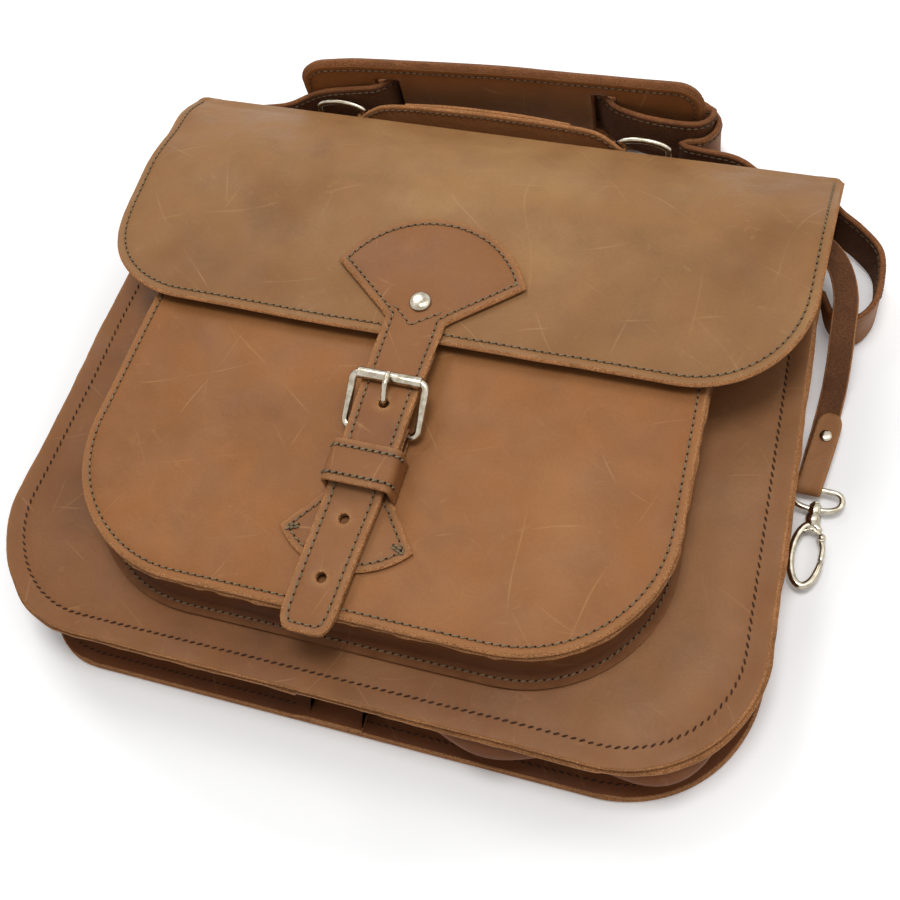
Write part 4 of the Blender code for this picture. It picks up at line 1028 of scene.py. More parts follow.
def makeGussets():
    flangeTop = bag["leather"] + bag["gap"] + bag["gusset"]
    for side, label in ((-1, "Left"), (1, "Right")):
        path = gussetPath(side)
        along = directions(path)
        outs = np.stack([along[:, 1] * side, -along[:, 0] * side], 1)
        flip = outs[:, 1] > 0
        outs[flip, 1] *= -1
        outs[:, 0] = np.where(np.abs(outs[:, 1]) < 0.98, np.abs(outs[:, 0]) * side, outs[:, 0])
        sizes = []
        for (x, y), out in zip(path, outs):
            first, last = bag["lap"]
            inLap = first - 0.3 <= x <= last + 0.3 and y < 20
            tuck = (bag["gusset"] + bag["gap"]) * float(smoothstep(y, 30, 10))
            squeeze = tuck * float(smoothstep(x, first - 9, first - 1)) if side < 0 else 0.0
            stepIn = tuck * float(smoothstep(x, last + 9, last + 1)) if side > 0 else 0.0
            low = bag["leather"] + bag["gap"] + squeeze
            high = float(frontTop(x, y)) - bag["leather"] - bag["gap"] - squeeze
            lip = bag["margin"] - bag["gap"]
            # the front flange stands out past the panel and waves along the bottom, where it was pulled
            pulled = float(smoothstep(x, 40, 100) * smoothstep(y, 70, 25))
            wave = 0.9 * ripple(x, y, 31, 2.2) + 0.4 * ripple(x, y, 7, 6.1) + 0.5 * pulled
            flare = 0.0 if inLap and side < 0 else max(gusset["flareLeast"], gusset["flare"] + wave)
            sizes.append((low, high, bag["gusset"], -stepIn - bag["gusset"], lip, lip + flare))
        piece = sweepGusset("gusset" + label, path, outs, sizes)
        finished(piece, "bag", "gusset_leather", "gusset_" + label.lower())
        out = bag["margin"] - gusset["backSeam"]
        line = [(x + ox * out, y + oy * out, flangeTop) for (x, y), (ox, oy) in zip(path, outs)
                if y < bag["frontHeight"] - 6]
        stitches("backSeam" + label, [relaxed(line)], "bag", "gusset_leather", "darkThread", holes=0.0, slant=20.0)
    # the lap is sewn down twice: dark rows at its end and pale hand tufts across its start
    runs, tufts = [], []
    base = flangeTop + 0.25
    for x in (bag["lap"][1] - 1.8, bag["lap"][1] - 6.5):
        runs.append(relaxed([(x, y, base) for y in np.linspace(1.0, 7.5, 5)]))
    for x in (1.2, 6.0):
        tufts.append(relaxed([(x + 0.5 * i, y, base + 0.3) for i, y in enumerate(np.linspace(4.0, 7.6, 3))]))
    stitches("lapSeam", runs, "bag", "gusset_leather", "darkThread")
    stitches("lapTufts", tufts, "bag", "gusset_leather", "khakiThread", pitch=1.8, length=2.6, thick=1.0)


# Front pocket
def makePocket():
    seam = pocket["seam"]
    outline = roundBottomed(pocketHalf, pocket["bottom"], pocket["top"], pocket["corner"])
    face = heightMap(pocketTop)
    piece, loop = sheet("pocketFace", outline, face, bag["leather"], pocketLayers, seam=seam)
    finished(piece, "bag", "pocket_leather", "pocket_face")
    stitches("pocketSeam", seamLine(loop, seam, face, lambda x, y: y < pocket["top"] - 3), "bag", "pocket_leather")
    # the wall between the pocket's face and the front panel, with a sewn flange below and a torn lip above
    wall = roundBottomed(pocketHalf, pocket["bottom"], pocket["top"], pocket["corner"], pocket["margin"], steps=16)
    half = wall[:len(wall) // 2]
    path = resampled([(-x, y) for x, y in reversed(half)] + half, 3.2, closed=False)
    along = directions(path)
    thick, lip = pocket["leather"], pocket["margin"] - bag["gap"]
    rings, flange = [], []
    for (x, y), (ax, ay) in zip(path, along):
        out = np.array([ay, -ax])
        sag = pocket["sag"] * max(0.0, -out[1])
        reach = sag + pocket["flange"]
        frayed = 0.8 * ripple(x, y, 5, 4.4) + 0.5 * ripple(x, y, 22, 1.7)
        torn = lip + pocket["torn"] * (1 + frayed)
        outer = [(reach, "front", thick), (sag + 2.6, "front", thick), (sag + 1.0, "front", thick + 0.7),
                 (sag + 0.1, "front", thick + 2.6), (sag * 0.5, "half", 0.0), (0.0, "face", -thick - 2.2),
                 (0.8, "face", -thick - 0.6), (2.4, "face", -thick), (lip - 1.6, "face", -thick),
                 (torn, "face", -thick)]
        inner = [(torn, "face", -0.2), (lip - 1.6, "face", 0.0), (-thick, "face", 0.0),
                 (sag * 0.5 - thick, "half", 0.0), (sag - thick, "front", 0.0), (reach, "front", 0.0)]
        ring = []
        for r, level, lift in outer + inner:
            px, py = x + out[0] * r, y + out[1] * r
            front = float(frontTop(px, py)) + bag["gap"]
            top = float(pocketTop(px, py)) - bag["leather"] - bag["gap"]
            base = {"front": front, "face": top, "half": (front + top) / 2}[level]
            ring.append((px, py, base + lift))
        rings.append(ring)
        flange.append((x + out[0] * (reach - 3.4), y + out[1] * (reach - 3.4)))
    slots = [0] * 8 + [2] * 3 + [1] * 4 + [2]
    near = [1, 0.5, 0.2, 0, 0, 0, 0.1, 0.4, 0.7, 1, 1, 0.7, 0, 0, 0, 1]
    piece = loft("pocketGusset", rings, gussetLayers, slots, near=near)
    finished(piece, "bag", "gusset_leather", "pocket_gusset")
    base = heightMap(lambda x, y: frontTop(x, y) + bag["gap"] + thick)
    stitches("flangeSeam", [onSurface(np.array(flange), base)], "bag", "gusset_leather", slant=24.0)


# The closure's tables, which come first because the flap is punched for the strap's rivet
strapCut = {
    "half": 13.2, "halfTip": 11.1, "aside": -4.0, "layer": 1.5, "gap": 0.3, "thicker": 1.75,
    "fanHalf": 42.5, "fanCorner": 183.0, "neck": 163.0, "fanRise": 28.0, "rivet": 167.8,
    "neckSeam": (9.6, 163.4), "holes": (116.7, 91.1, 65.5, 39.9), "holeRadius": 2.4, "seam": 3.2,
}
strapRun = [(17, 64.69), (43, 65.9), (75.2, 65.9), (85, 69.08), (98.7, 69.98), (115.3, 69.98), (127.5, 69.03),
            (146, 67.3), (152, 66.8), (232, 66.8)]  # y and height of its underside
patchCut = {"half": 28.5, "corner": 59.0, "neck": 75.2, "rise": 14.0, "thick": 2.0, "end": 84.7, "seam": 3.0}
chape = {"from": 85.0, "width": 25.0, "thick": 1.5, "slotHalf": 2.6, "slotRun": 4.4}
keeperCut = {"y": 87.4, "width": 19.0, "thick": 1.8, "half": 14.2, "low": 62.3, "high": 75.0, "bend": 2.4}
bar = {
    "y": 107.0, "z": 65.58, "wire": 1.7, "reach": 20.5, "half": 16.0, "corner": 3.0, "clear": 0.2,
    "rollerZ": 75.13, "roller": 2.5, "tongue": 1.2,
}


# Flap, which is one hide with the top wall behind it
def flapHeight(y):
    share = np.clip((bag["height"] - y) / flapCut["run"], 0, 1)
    return flapCut["creaseZ"] + (flapCut["level"] - flapCut["creaseZ"]) * np.sin(share * math.pi / 2)


def flapSurface(x, v):
    # v is y up to the fold, then runs round it and down the wall
    radius = flapCut["foldRadius"]
    foldStart = flapCut["creaseY"] - radius
    turn = np.clip((v - foldStart) / radius, 0, math.pi / 2)
    past = np.maximum(v - foldStart - radius * math.pi / 2, 0)
    y = np.where(v < foldStart, v, foldStart + radius * np.sin(turn))
    z = np.where(v < foldStart, flapHeight(v), float(flapHeight(foldStart)) - radius * (1 - np.cos(turn)) - past)
    return np.stack([x, y, z], 1)


def makeFlap():
    seam = flapCut["seam"]
    bottom = roundBottomed(lambda y: flapCut["half"] + 0 * y, flapCut["bottom"], flapCut["creaseY"] - 4,
                           flapCut["corner"])
    right = bottom[:len(bottom) // 2]
    fold = flapCut["creaseY"] - flapCut["foldRadius"]
    wallEnd = fold + flapCut["foldRadius"] * math.pi / 2 + float(flapHeight(fold)) - flapCut["foldRadius"] - 0.5
    right += [(flapCut["half"] - 4, fold + 7), (flapCut["wallHalf"], fold + 12), (flapCut["wallHalf"], wallEnd)]
    outline = right + [(-x, y) for x, y in reversed(right)]
    piece, loop = sheet("flapHide", outline, flapSurface, bag["leather"], flapLayers,
                        holes=[(0, strapCut["rivet"], flapCut["rivetHole"])], seam=seam)
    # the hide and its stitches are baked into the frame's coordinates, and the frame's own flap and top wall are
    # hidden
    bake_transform(piece)
    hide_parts("flap", "top_wall")
    sewn = stitches("flapSeam", seamLine(loop, seam, flapSurface, lambda x, y: y < fold - 1), None, "flap_leather")
    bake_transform(sewn)


makePanels()
makeGussets()
makePocket()
makeFlap()
print("panels, gussets, pocket and flap made")


# Closure strap, patch, chape and keeper
def strapUnder(y):
    # height of the strap's underside, its run eased as stiff leather bends
    ys, zs = zip(*strapRun)
    fine = np.linspace(ys[0], ys[-1], 430)
    rough = np.interp(fine, ys, zs)
    weights = np.hanning(17)
    eased = np.convolve(np.pad(rough, 8, mode="edge"), weights / weights.sum(), "valid")
    return np.interp(y, fine, np.maximum(eased, rough - 0.12))


def onFlap(y):
    # 1 where the strap lies on the flap and has no lining, so that its leather is thicker
    return smoothstep(y, 147, 158)


def strapOuter(x, y):
    drop = flapHeight(y) - flapCut["level"]
    return strapUnder(y) + 2 * strapCut["layer"] + strapCut["gap"] + drop * (y > 152)


def fanShape(half, corner, neck, rise, start, direction, neckHalf=12.5):
    # a fan with straight flaring sides, small steps at its neck and a round far edge
    radius = (half ** 2 + rise ** 2) / (2 * rise)
    middle = rise - radius
    side = [(neckHalf, start), (neckHalf, neck - direction * 4.0), (neckHalf + 3.2, neck - direction * 1.0),
            (half, corner)]
    sweep = math.asin(min(1.0, half / radius))
    steps = 14
    for step in range(1, steps + 1):
        a = sweep * (1 - step / steps)
        side.append((radius * math.sin(a), corner + direction * (middle + radius * math.cos(a))))
    return side + [(-x, y) for x, y in reversed(side[:-1])]


def aside(y):
    # below the buckle the strap lies a little to the left
    low, high = 17.0, 98.0
    return strapCut["aside"] * (high - min(high, y)) / (high - low)


def makeClosure():
    half, wide = strapCut["halfTip"], strapCut["half"]
    # a blunt round tip, then nearly parallel up to the keeper
    tip = [(half * 0.5, 17.0), (half * 0.75, 18.0), (half * 0.93, 21.4), (half, 25.5), (half + 0.9, 98.0)]
    leftTip = [(aside(y) - x, y) for x, y in reversed(tip)]
    tip = [(aside(y) + x, y) for x, y in tip]
    s = strapCut
    fan = fanShape(s["fanHalf"], s["fanCorner"], s["neck"], s["fanRise"], 150.0, 1, wide)
    outer = heightMap(strapOuter)
    holes = [(aside(y), y, strapCut["holeRadius"]) for y in strapCut["holes"]]
    piece, loop = sheet("closureStrap", leftTip + tip + fan, outer,
                        lambda x, y: strapCut["layer"] + strapCut["thicker"] * onFlap(y), strapLayers,
                        holes=holes + [(0, strapCut["rivet"], flapCut["rivetHole"])],
                        step=3.0, spacing=2.0, seam=3.4)
    finished(piece, "flap", "strap_leather", "closure_strap")
    runs = seamLine(loop, strapCut["seam"], outer)
    neck, y = strapCut["neckSeam"]  # a short V closes the fan's seam below the rivet
    runs.append(onSurface(np.array([(-neck, y), (-1.0, y - 7.5), (neck, y)]), outer) + (0, 0, 0.1))
    stitches("strapSeam", runs, "flap", "strap_leather")
    under = heightMap(lambda x, y: strapOuter(x, y) - strapCut["layer"] - strapCut["gap"])
    lining = leftTip + tip + [(wide - 0.1, 145.7), (0.1 - wide, 145.7)]
    piece, _ = sheet("strapLining", lining, under, strapCut["layer"], strapLayers, holes=holes, spacing=2.4)
    finished(piece, "flap", "strap_leather", "strap_lining")
    patch = fanShape(patchCut["half"], patchCut["corner"], patchCut["neck"], patchCut["rise"], patchCut["end"], -1)
    face = heightMap(lambda x, y: pocketTop(x, y) + 0.3 + patchCut["thick"])
    seam = patchCut["seam"]
    piece, loop = sheet("chapePatch", patch, face, patchCut["thick"], strapLayers,
                        step=3.0, spacing=2.0, seam=seam)
    finished(piece, "bag", "strap_leather", "chape_patch")
    stitches("patchSeam", seamLine(loop, seam, face, lambda x, y: y < 78), "bag", "strap_leather")
    # two tufts of thread tack down each corner
    tufts = []
    for sign in (-1, 1):
        tufts.append(onSurface(np.array([(sign * 24.5, 57.6), (sign * 21.0, 59.0)]), face, 0.5))
        tufts.append(onSurface(np.array([(sign * 24.0, 59.2), (sign * 20.5, 60.4)]), face, 0.5))
    stitches("patchTacks", tufts, "bag", "strap_leather", pitch=1.7, length=2.4, thick=1.0)


def makeChapeAndKeeper():
    # the chape folds round the buckle's bar, slotted there for the tongue, so it's a strip on each side of it
    turn = bar["wire"] + bar["clear"] + chape["thick"] / 2
    fold = [(0, bar["y"] + turn * math.sin(a), bar["z"] - turn * math.cos(a)) for a in np.linspace(0, math.pi, 9)]
    low, high = fold[0][2], fold[-1][2]
    slotHalf, slotFrom = chape["slotHalf"], bar["y"] - chape["slotRun"]
    middle = (chape["width"] / 2 - slotHalf) / 2 + slotHalf
    for sign, label in ((-1, "Left"), (1, "Right")):
        x = sign * middle
        line = [(x, slotFrom + 0.2, low)] + [(x, y, z) for _, y, z in fold] + [(x, slotFrom + 0.2, high)]
        piece = band("chapeFold" + label, line, (1, 0, 0), 2 * (middle - slotHalf), chape["thick"], strapLayers)
        finished(piece, "bag", "strap_leather", "chape_loop")
    for z, label in ((low, "Lower"), (high, "Upper")):
        line = catmull([(0, chape["from"], z), (0, chape["from"] + 7, z), (0, slotFrom, z)], 3)
        piece = band("chape" + label, line, (1, 0, 0), chape["width"], chape["thick"], strapLayers)
        finished(piece, "bag", "strap_leather", "chape_loop")
    k = keeperCut
    bend = k["bend"]
    points = [(-k["half"], k["y"], k["low"]), (-k["half"], k["y"], 68), (-k["half"], k["y"], k["high"] - bend)]
    points += [(-k["half"] + bend - bend * math.cos(a), k["y"], k["high"] - bend + bend * math.sin(a))
               for a in (0.5, 1.1)]
    points += [(-k["half"] + bend, k["y"], k["high"])]
    points += [(x, k["y"], k["high"] + 0.25) for x in (-8, -3, 0)]
    points += [(-x, y, z) for x, y, z in reversed(points[:-1])]
    line = catmull(points, 1.6)
    piece = band("keeper", line, (0, 1, 0), k["width"], k["thick"], strapLayers, seam=3.2)
    finished(piece, "bag", "strap_leather", "keeper_loop")
    # two rows of thick twisted thread
    face = keeperFace(line)
    rows = [bandSeam(line, (0, 1, 0), k["width"], k["thick"], 3.4, side, face, 9, 9, 0.25) for side in (-1, 1)]
    stitches("keeperSeam", rows, "bag", "strap_leather", pitch=2.9, length=3.0, thick=1.05, slant=26.0)


def keeperFace(line):
    # which way out of the band is up
    _, _, normal = bandFrames(line, (0, 1, 0))
    return 1 if normal[len(line) // 2][2] > 0 else -1


makeClosure()
makeChapeAndKeeper()
print("closure strap, patch, chape and keeper made")


# Carry handle, rings and tabs
handleRun = [  # x, y, z and width: round the left ring, along the grip and round the right ring
    (-61.5, 296.9, 22.0, 7.0), (-69, 297.0, 22.0, 7.0), (-76.5, 296.9, 22.0, 7.0), (-78.8, 296.0, 22.3, 7.0),
    (-79.8, 293.8, 22.8, 7.0), (-78.8, 291.5, 23.4, 7.0), (-76.5, 290.6, 23.8, 9.0), (-64.4, 291.1, 26.9, 18.6),
    (-50.3, 291.5, 27.9, 21.0), (-30.6, 292.0, 28.2, 21.0), (-11.0, 292.2, 28.5, 21.0), (8.7, 292.0, 28.3, 21.0),
    (28.3, 291.5, 28.1, 21.0), (43.4, 291.1, 27.5, 19.4), (54.5, 290.6, 24.8, 10.4), (56.8, 291.5, 23.4, 7.0),
    (57.8, 293.8, 22.8, 7.0), (56.8, 296.0, 22.3, 7.0), (54.5, 296.9, 22.0, 7.0), (47, 297.0, 22.0, 7.0),
    (39.5, 296.9, 22.0, 7.0)]
liningRun = [(-52.9, 293.8, 26.6, 20.0), (-30.6, 294.4, 27.6, 21.0), (-11.0, 294.5, 27.9, 21.0),
             (8.7, 294.4, 27.7, 21.0), (30.9, 293.8, 27.1, 20.0)]
handle = {
    "across": (0, 0.242, 0.97), "thick": 2.1, "seam": 2.4, "seamEnds": 19.0,
    "ringX": {"Left": -89.0, "Right": 67.0}, "axis": (292.2, 16.5), "lean": 14.0,
    "ringHalf": 12.5, "ringReach": 15.5, "ringCorner": 2.6, "wire": 1.6, "tabWidth": 15.5, "tabThick": 1.8,
}
tabRun = [(287.1, 2.5), (287.1, 8.8), (289.5, 16.5), (290.3, 18.4), (292.2, 19.2), (294.1, 18.4), (294.9, 16.5),
          (294.3, 14.8), (289.2, 8.8), (289.2, 2.5)]  # y and z, up the wall, round the ring's bar and back


def split(path):
    # a path's points and its widths
    return path[:, :3], path[:, 3]


def arc(x, y, across, up, first, last, count=7):
    # points of an ellipse round (x, y), from one angle to another in degrees
    turn = np.radians(np.linspace(first, last, count))
    return [(x + across * math.cos(t), y + up * math.sin(t)) for t in turn]


def ringPoints(centre, up, half, reach, corner):
    # a D ring: a straight bar with round corners, then a bow
    right = Vector((1, 0, 0))
    up = Vector(up).normalized()
    spots = arc(half - corner, corner, corner, corner, -90, 0)
    spots += arc(0, reach * 0.7, half, reach * 0.3, 0, 180, 25)
    spots += arc(-half + corner, corner, corner, corner, 180, 270)
    spots += [(-half / 2, 0), (0, 0), (half / 2, 0)]
    return [tuple(Vector(centre) + right * x + up * v) for x, v in spots]


def makeHandle():
    h = handle
    lean = math.radians(h["lean"])
    up, out = (0, math.sin(lean), math.cos(lean)), (0, math.cos(lean), -math.sin(lean))
    for side, x in h["ringX"].items():
        points = ringPoints((x, *h["axis"]), up, h["ringHalf"], h["ringReach"], h["ringCorner"])
        piece = wire("handleRing" + side, points, h["wire"], True, out)
        finished(piece, "handle", "nickel", "handle_ring_" + side.lower())
        line = catmull([(x, y, z) for y, z in tabRun], 1.5)
        piece = band("handleTab" + side, line, (1, 0, 0), h["tabWidth"], h["tabThick"], strapLayers, move=None)
        finished(piece, "bag", "strap_leather", "handle_tab_" + side.lower())
    points, widths = split(catmull(handleRun, 1.6))
    piece = band("handleOuter", points, h["across"], widths, h["thick"], strapLayers, move=None)
    finished(piece, "handle", "strap_leather", "handle_outer")
    ends = h["seamEnds"]
    runs = [bandSeam(points, h["across"], widths, h["thick"], h["seam"], 1, face, ends, ends, 0.15, None)
            for face in (-1, 1)]
    stitches("handleSeam", runs, "handle", "strap_leather", "brownThread")
    points, widths = split(catmull(liningRun, 2.0))
    piece = band("handleLining", points, h["across"], widths, h["thick"], strapLayers, move=None)
    finished(piece, "handle", "strap_leather", "handle_lining")


# Shoulder strap, its pad, and the side rings
strapLine = [  # x, y, z and width, from the left ring round the pad to the right ring
    (-157.7, 250.0, 13.8, 9.0), (-157.7, 234.0, 13.8, 9.0), (-158.5, 232.1, 13.8, 9.0),
    (-160.4, 231.3, 13.8, 9.0), (-162.3, 232.1, 13.8, 9.0), (-163.1, 234.0, 13.8, 9.0),
    (-156.6, 263.2, 13.8, 9.0), (-156.4, 278.8, 14.1, 9.9), (-152.2, 288.1, 15.8, 20.0),
    (-136.0, 291.2, 13.4, 25.0), (-119.0, 293.5, 15.8, 25.0), (-107.2, 297.8, 19.0, 25.0),
    (-96.0, 300.3, 22.7, 25.0), (-73.4, 303.5, 25.3, 25.0), (-68.4, 306.6, 25.3, 25.0),
    (-63.6, 310.8, 25.3, 25.0), (-58.6, 314.7, 25.3, 25.0), (0.0, 318.5, 25.3, 25.0),
    (36.6, 320.1, 25.3, 25.0), (41.6, 316.6, 25.3, 25.0), (46.4, 312.9, 25.3, 25.0),
    (51.4, 309.5, 24.6, 26.4), (64.6, 306.3, 23.3, 28.2), (79.9, 305.6, 22.4, 28.2),
    (90.5, 307.6, 21.6, 26.6), (95.5, 313.2, 20.2, 25.0), (94.3, 319.4, 17.0, 25.0),
    (83.7, 323.5, 13.4, 25.0), (44.0, 324.5, 13.4, 25.0), (-66.0, 318.4, 13.4, 25.0),
    (-76.0, 318.0, 13.4, 25.0), (-79.8, 320.5, 13.4, 25.0), (-76.0, 323.5, 13.4, 25.0),
    (-66.0, 323.8, 13.4, 25.0), (44.0, 329.5, 13.4, 25.0), (83.7, 329.0, 13.4, 25.0),
    (97.4, 320.4, 13.4, 25.0), (98.7, 311.4, 14.4, 25.0), (94.0, 304.6, 15.2, 25.0),
    (86.6, 302.4, 15.4, 25.0), (84.0, 300.9, 15.4, 25.0), (86.6, 299.3, 15.4, 25.0),
    (98.0, 298.0, 15.4, 25.0), (110.2, 296.8, 15.0, 25.0), (121.2, 294.9, 11.4, 20.0),
    (134.2, 293.8, 10.2, 18.4), (146.2, 291.6, 10.4, 18.4), (156.1, 285.8, 12.8, 21.0),
    (162.3, 275.1, 15.0, 25.0), (173.4, 267.4, 14.3, 25.0), (183.3, 257.5, 13.4, 25.0),
    (185.6, 243.4, 13.4, 25.0), (184.6, 230.4, 13.4, 25.0), (178.5, 221.6, 13.4, 25.0),
    (168.6, 223.6, 13.4, 17.5), (163.1, 234.0, 13.8, 9.0), (162.3, 235.9, 13.8, 9.0),
    (160.4, 236.7, 13.8, 9.0), (158.5, 235.9, 13.8, 9.0), (157.7, 234.0, 13.8, 9.0),
    (157.7, 218.0, 13.8, 9.0)]
pad = {
    "left": -110.0, "right": 92.0, "width": 50.0, "thick": 5.2, "low": 0.3, "corner": 13.0, "seam": 4.0,
    "near": 305.3, "far": 315.5, "curl": 3.0, "curlFrom": -112.0, "curlTo": -78.0,  # it bends away to the right
    "slots": (-66.0, 44.0), "slotWidth": 12.0, "slotHeight": 28.0,
}
longStrap = {"thick": 2.6, "seam": 3.2, "seamFrom": 75.0, "seamStop": 60.0}
sideRing = {
    "x": 151.8, "y": 234.0, "z": 13.8, "half": 7.2, "depth": 8.6, "corner": 1.8, "wire": 1.2,
    "clear": 0.2, "tabWidth": 8.5, "tabThick": 1.5, "tabLength": 20.0,
}


def padLine(x):
    # the pad stands on edge behind the bag; this is the y of its middle
    share = np.minimum(1.2, (x - pad["left"]) / (pad["right"] - pad["left"]))
    curl = pad["curl"] * (1 - smoothstep(x, pad["curlFrom"], pad["curlTo"]))
    return pad["near"] + (pad["far"] - pad["near"]) * np.sin(share * math.pi / 2) - curl


def padFace(x, h):
    return np.stack([x, padLine(x) - pad["thick"] / 2, h], 1)


def padBack(x, h):
    return np.stack([x, padLine(x) + pad["thick"] / 2, h], 1)


def makePad():
    low, high = pad["low"], pad["low"] + pad["width"]
    r = pad["corner"]
    left, right = pad["left"] + r, pad["right"] - r
    outline = []
    for x, z, start in ((right, low + r, -90), (right, high - r, 0), (left, high - r, 90), (left, low + r, 180)):
        outline += arc(x, z, r, r, start, start + 90, 10)
    middle = (low + high) / 2
    holes = []
    for x in pad["slots"]:
        w, h = pad["slotWidth"] / 2, pad["slotHeight"] / 2
        holes.append([(x - w, middle - h), (x + w, middle - h), (x + w, middle + h), (x - w, middle + h)])
    piece, loop = sheet("shoulderPad", outline, padFace, pad["thick"], padLayers, holes=holes, seam=pad["seam"])
    finished(piece, "bag", "pocket_leather", "shoulder_pad")
    raised = np.array([0, 0.1, 0])
    runs = seamLine(loop, pad["seam"], lambda x, h: padFace(x, h) - raised, lift=0)
    runs += seamLine(loop, pad["seam"], lambda x, h: padBack(x, h) + raised, lift=0)
    stitches("padSeam", runs, "bag", "pocket_leather", "brownThread", slant=0.0)


def makeStrap():
    points, widths = split(catmull(strapLine, 2.6))
    thick, seam, first, last = (longStrap[key] for key in ("thick", "seam", "seamFrom", "seamStop"))
    piece = band("shoulderStrap", points, (0, 0, 1), widths, thick, longStrapLayers, seam=seam)
    finished(piece, "bag", "strap_leather", "shoulder_strap")
    runs = [bandSeam(points, (0, 0, 1), widths, thick, seam, 1, face, first, last, 0.12) for face in (-1, 1)]
    stitches("shoulderStrapSeam", runs, "bag", "strap_leather", "brownThread", slant=0.0)
    ring = sideRing
    for facing, side in ((-1, "Left"), (1, "Right")):
        corner, far, high = ring["corner"], ring["depth"] - ring["corner"], ring["half"] - ring["corner"]
        spots = []
        for x, z, start in ((far, high, 0), (corner, high, 90), (corner, -high, 180), (far, -high, 270)):
            spots += arc(ring["x"] + x, ring["z"] + z, corner, corner, start, start + 90)
        spots = [(facing * x, ring["y"], z) for x, z in spots]
        piece = wire("sideRing" + side, spots, ring["wire"], True, (0, 1, 0))
        finished(piece, "bag", "nickel", "side_ring_" + side.lower())
        turn = ring["wire"] + ring["clear"] + ring["tabThick"] / 2
        fold = arc(ring["x"], ring["y"], turn, turn, 180, 360, 9)
        end = ring["y"] + ring["tabLength"]
        line = [(ring["x"] - turn, end)] + fold + [(ring["x"] + turn, end)]
        line = catmull([(facing * x, y, ring["z"]) for x, y in line], 2.0)
        piece = band("sideTab" + side, line, (0, 0, 1), ring["tabWidth"], ring["tabThick"], longStrapLayers,
                     move=None)
        finished(piece, "bag", "strap_leather", "side_tab_" + side.lower())


# Key leash with its snap hook
leashLine = [  # x, y, z, width, and which way it lies across: x and y
    (122.4, 264.6, 28.6, 10.8, -0.13, -0.99), (139.4, 261.8, 28.9, 10.8, -0.27, -0.96),
    (154.7, 254.7, 30.4, 10.8, -0.57, -0.82), (165.7, 243.4, 32.0, 10.8, -0.84, -0.54),
    (172.0, 227.8, 31.7, 10.8, -0.98, -0.21), (173.7, 210.0, 28.9, 10.8, -1, -0.08),
    (174.6, 201.1, 20.0, 10.8, -1, -0.09), (175.0, 193.2, 10.5, 10.8, -1, -0.05),
    (174.8, 187.8, 5.5, 10.8, -1, 0), (174.6, 183.3, 2.7, 10.8, -1, 0),
    (174.3, 180.0, 2.1, 10.8, -1, 0), (174.0, 174.3, 2.4, 10.8, -1, 0), (172.9, 161.1, 2.4, 10.8, -1, 0),
    (172.2, 145.5, 2.4, 10.8, -1, 0), (172.2, 143.8, 3.1, 10.8, -1, 0), (172.3, 143.1, 4.8, 10.8, -1, 0),
    (172.4, 143.8, 6.5, 10.8, -1, 0), (172.6, 145.5, 7.2, 10.8, -1, 0.1), (174.3, 159.9, 7.2, 10.8, -1, 0.12),
    (175.7, 174.0, 7.2, 10.8, -1, 0.1), (176.1, 178.0, 7.2, 9.9, -1, 0.1), (176.3, 180.2, 7.2, 7.6, -1, 0.1),
    (176.4, 181.5, 7.2, 3.8, -1, 0.1)]
leash = {"thick": 1.8, "rivet": (175.2, 170.0), "rivetHalf": 2.7, "rivetFrom": 1.2, "rivetTo": 8.4, "rise": 1.1}
eyeRight = [(0, 9.5), (3.2, 9.3), (6.4, 8.7), (9.0, 7.4), (10.4, 5.4), (10.6, 3.2), (9.6, 1.2), (7.6, 0.2),
            (4.0, 0)]  # the eye's right half, down from the fold
hook = {
    "x": 176.49, "z": 4.8, "eyeY": 145.5, "eyeReach": 9.5, "eyeWire": 1.3,
    "collar": 3.3, "collarLength": 4.5, "collarBore": 1.45,
    "half": 6.2, "length": 28.0, "wire": 1.7, "gateWire": 1.3, "pin": 0.9, "armWire": 0.85,
    "from": 56, "to": 350, "gateFrom": 38, "gateTo": -7.5,  # degrees round the bow
    "bowWires": ((56, 1.6), (95, 1.75), (180, 1.6), (270, 1.75), (330, 1.6), (350, 1.35)),
}


def domeProfile(radius, low, high, rise):
    # a rivet: a flat cap under the leather, a shank, and a domed head from high up
    head = [(0.97, 0), (1.0, 0.16), (0.97, 0.34), (0.84, 0.66), (0.6, 0.88), (0.3, 0.98)]
    cap = [(0.02, low - 0.5), (radius * 0.6, low - 0.5), (radius * 0.8, low), (1.2, low + 0.1), (1.2, high - 0.05)]
    return cap + [(radius * share, high + rise * up) for share, up in head] + [(0.02, high + rise)]


def makeLeash():
    path = catmull(leashLine, 1.4)
    across = np.hstack([path[:, 4:6], np.zeros((len(path), 1))])
    piece = band("leash", path[:, :3], across, path[:, 3], leash["thick"], strapLayers, move=None)
    finished(piece, "bag", "strap_leather", "leash")
    profile = domeProfile(leash["rivetHalf"], leash["rivetFrom"], leash["rivetTo"], leash["rise"])
    finished(lathe("leashRivet", (*leash["rivet"], 0), (0, 0, 1), profile), "bag", "nickel", "leash_rivet")


def makeSwivel(start):
    # the eye in the leash's fold, with the collar that the hook's stem turns in
    h = hook
    run = [(x, y, 0) for x, y in eyeRight] + [(-x, y, 0) for x, y in reversed(eyeRight)]
    centre = Vector((h["x"], h["eyeY"], h["z"]))
    points = [tuple(centre + Vector((x, -y, 0))) for x, y, _ in catmull(run, 0.9)[:-1]]
    finished(wire("swivelEye", points, h["eyeWire"], True), "swivel_eye", "nickel", "swivel_eye")
    r, length, bore = h["collar"] * 0.8, h["collarLength"], h["collarBore"]
    profile = [(bore, 0.0), (r * 0.9, 0.0), (r, 0.35), (r * 1.03, length / 2), (r, length - 0.35),
               (r * 0.9, length), (bore, length)]
    piece = lathe("swivelCollar", (h["x"], start, h["z"]), (0, -1, 0), profile, closed=True)
    finished(piece, "swivel_eye", "nickel", "swivel_eye")


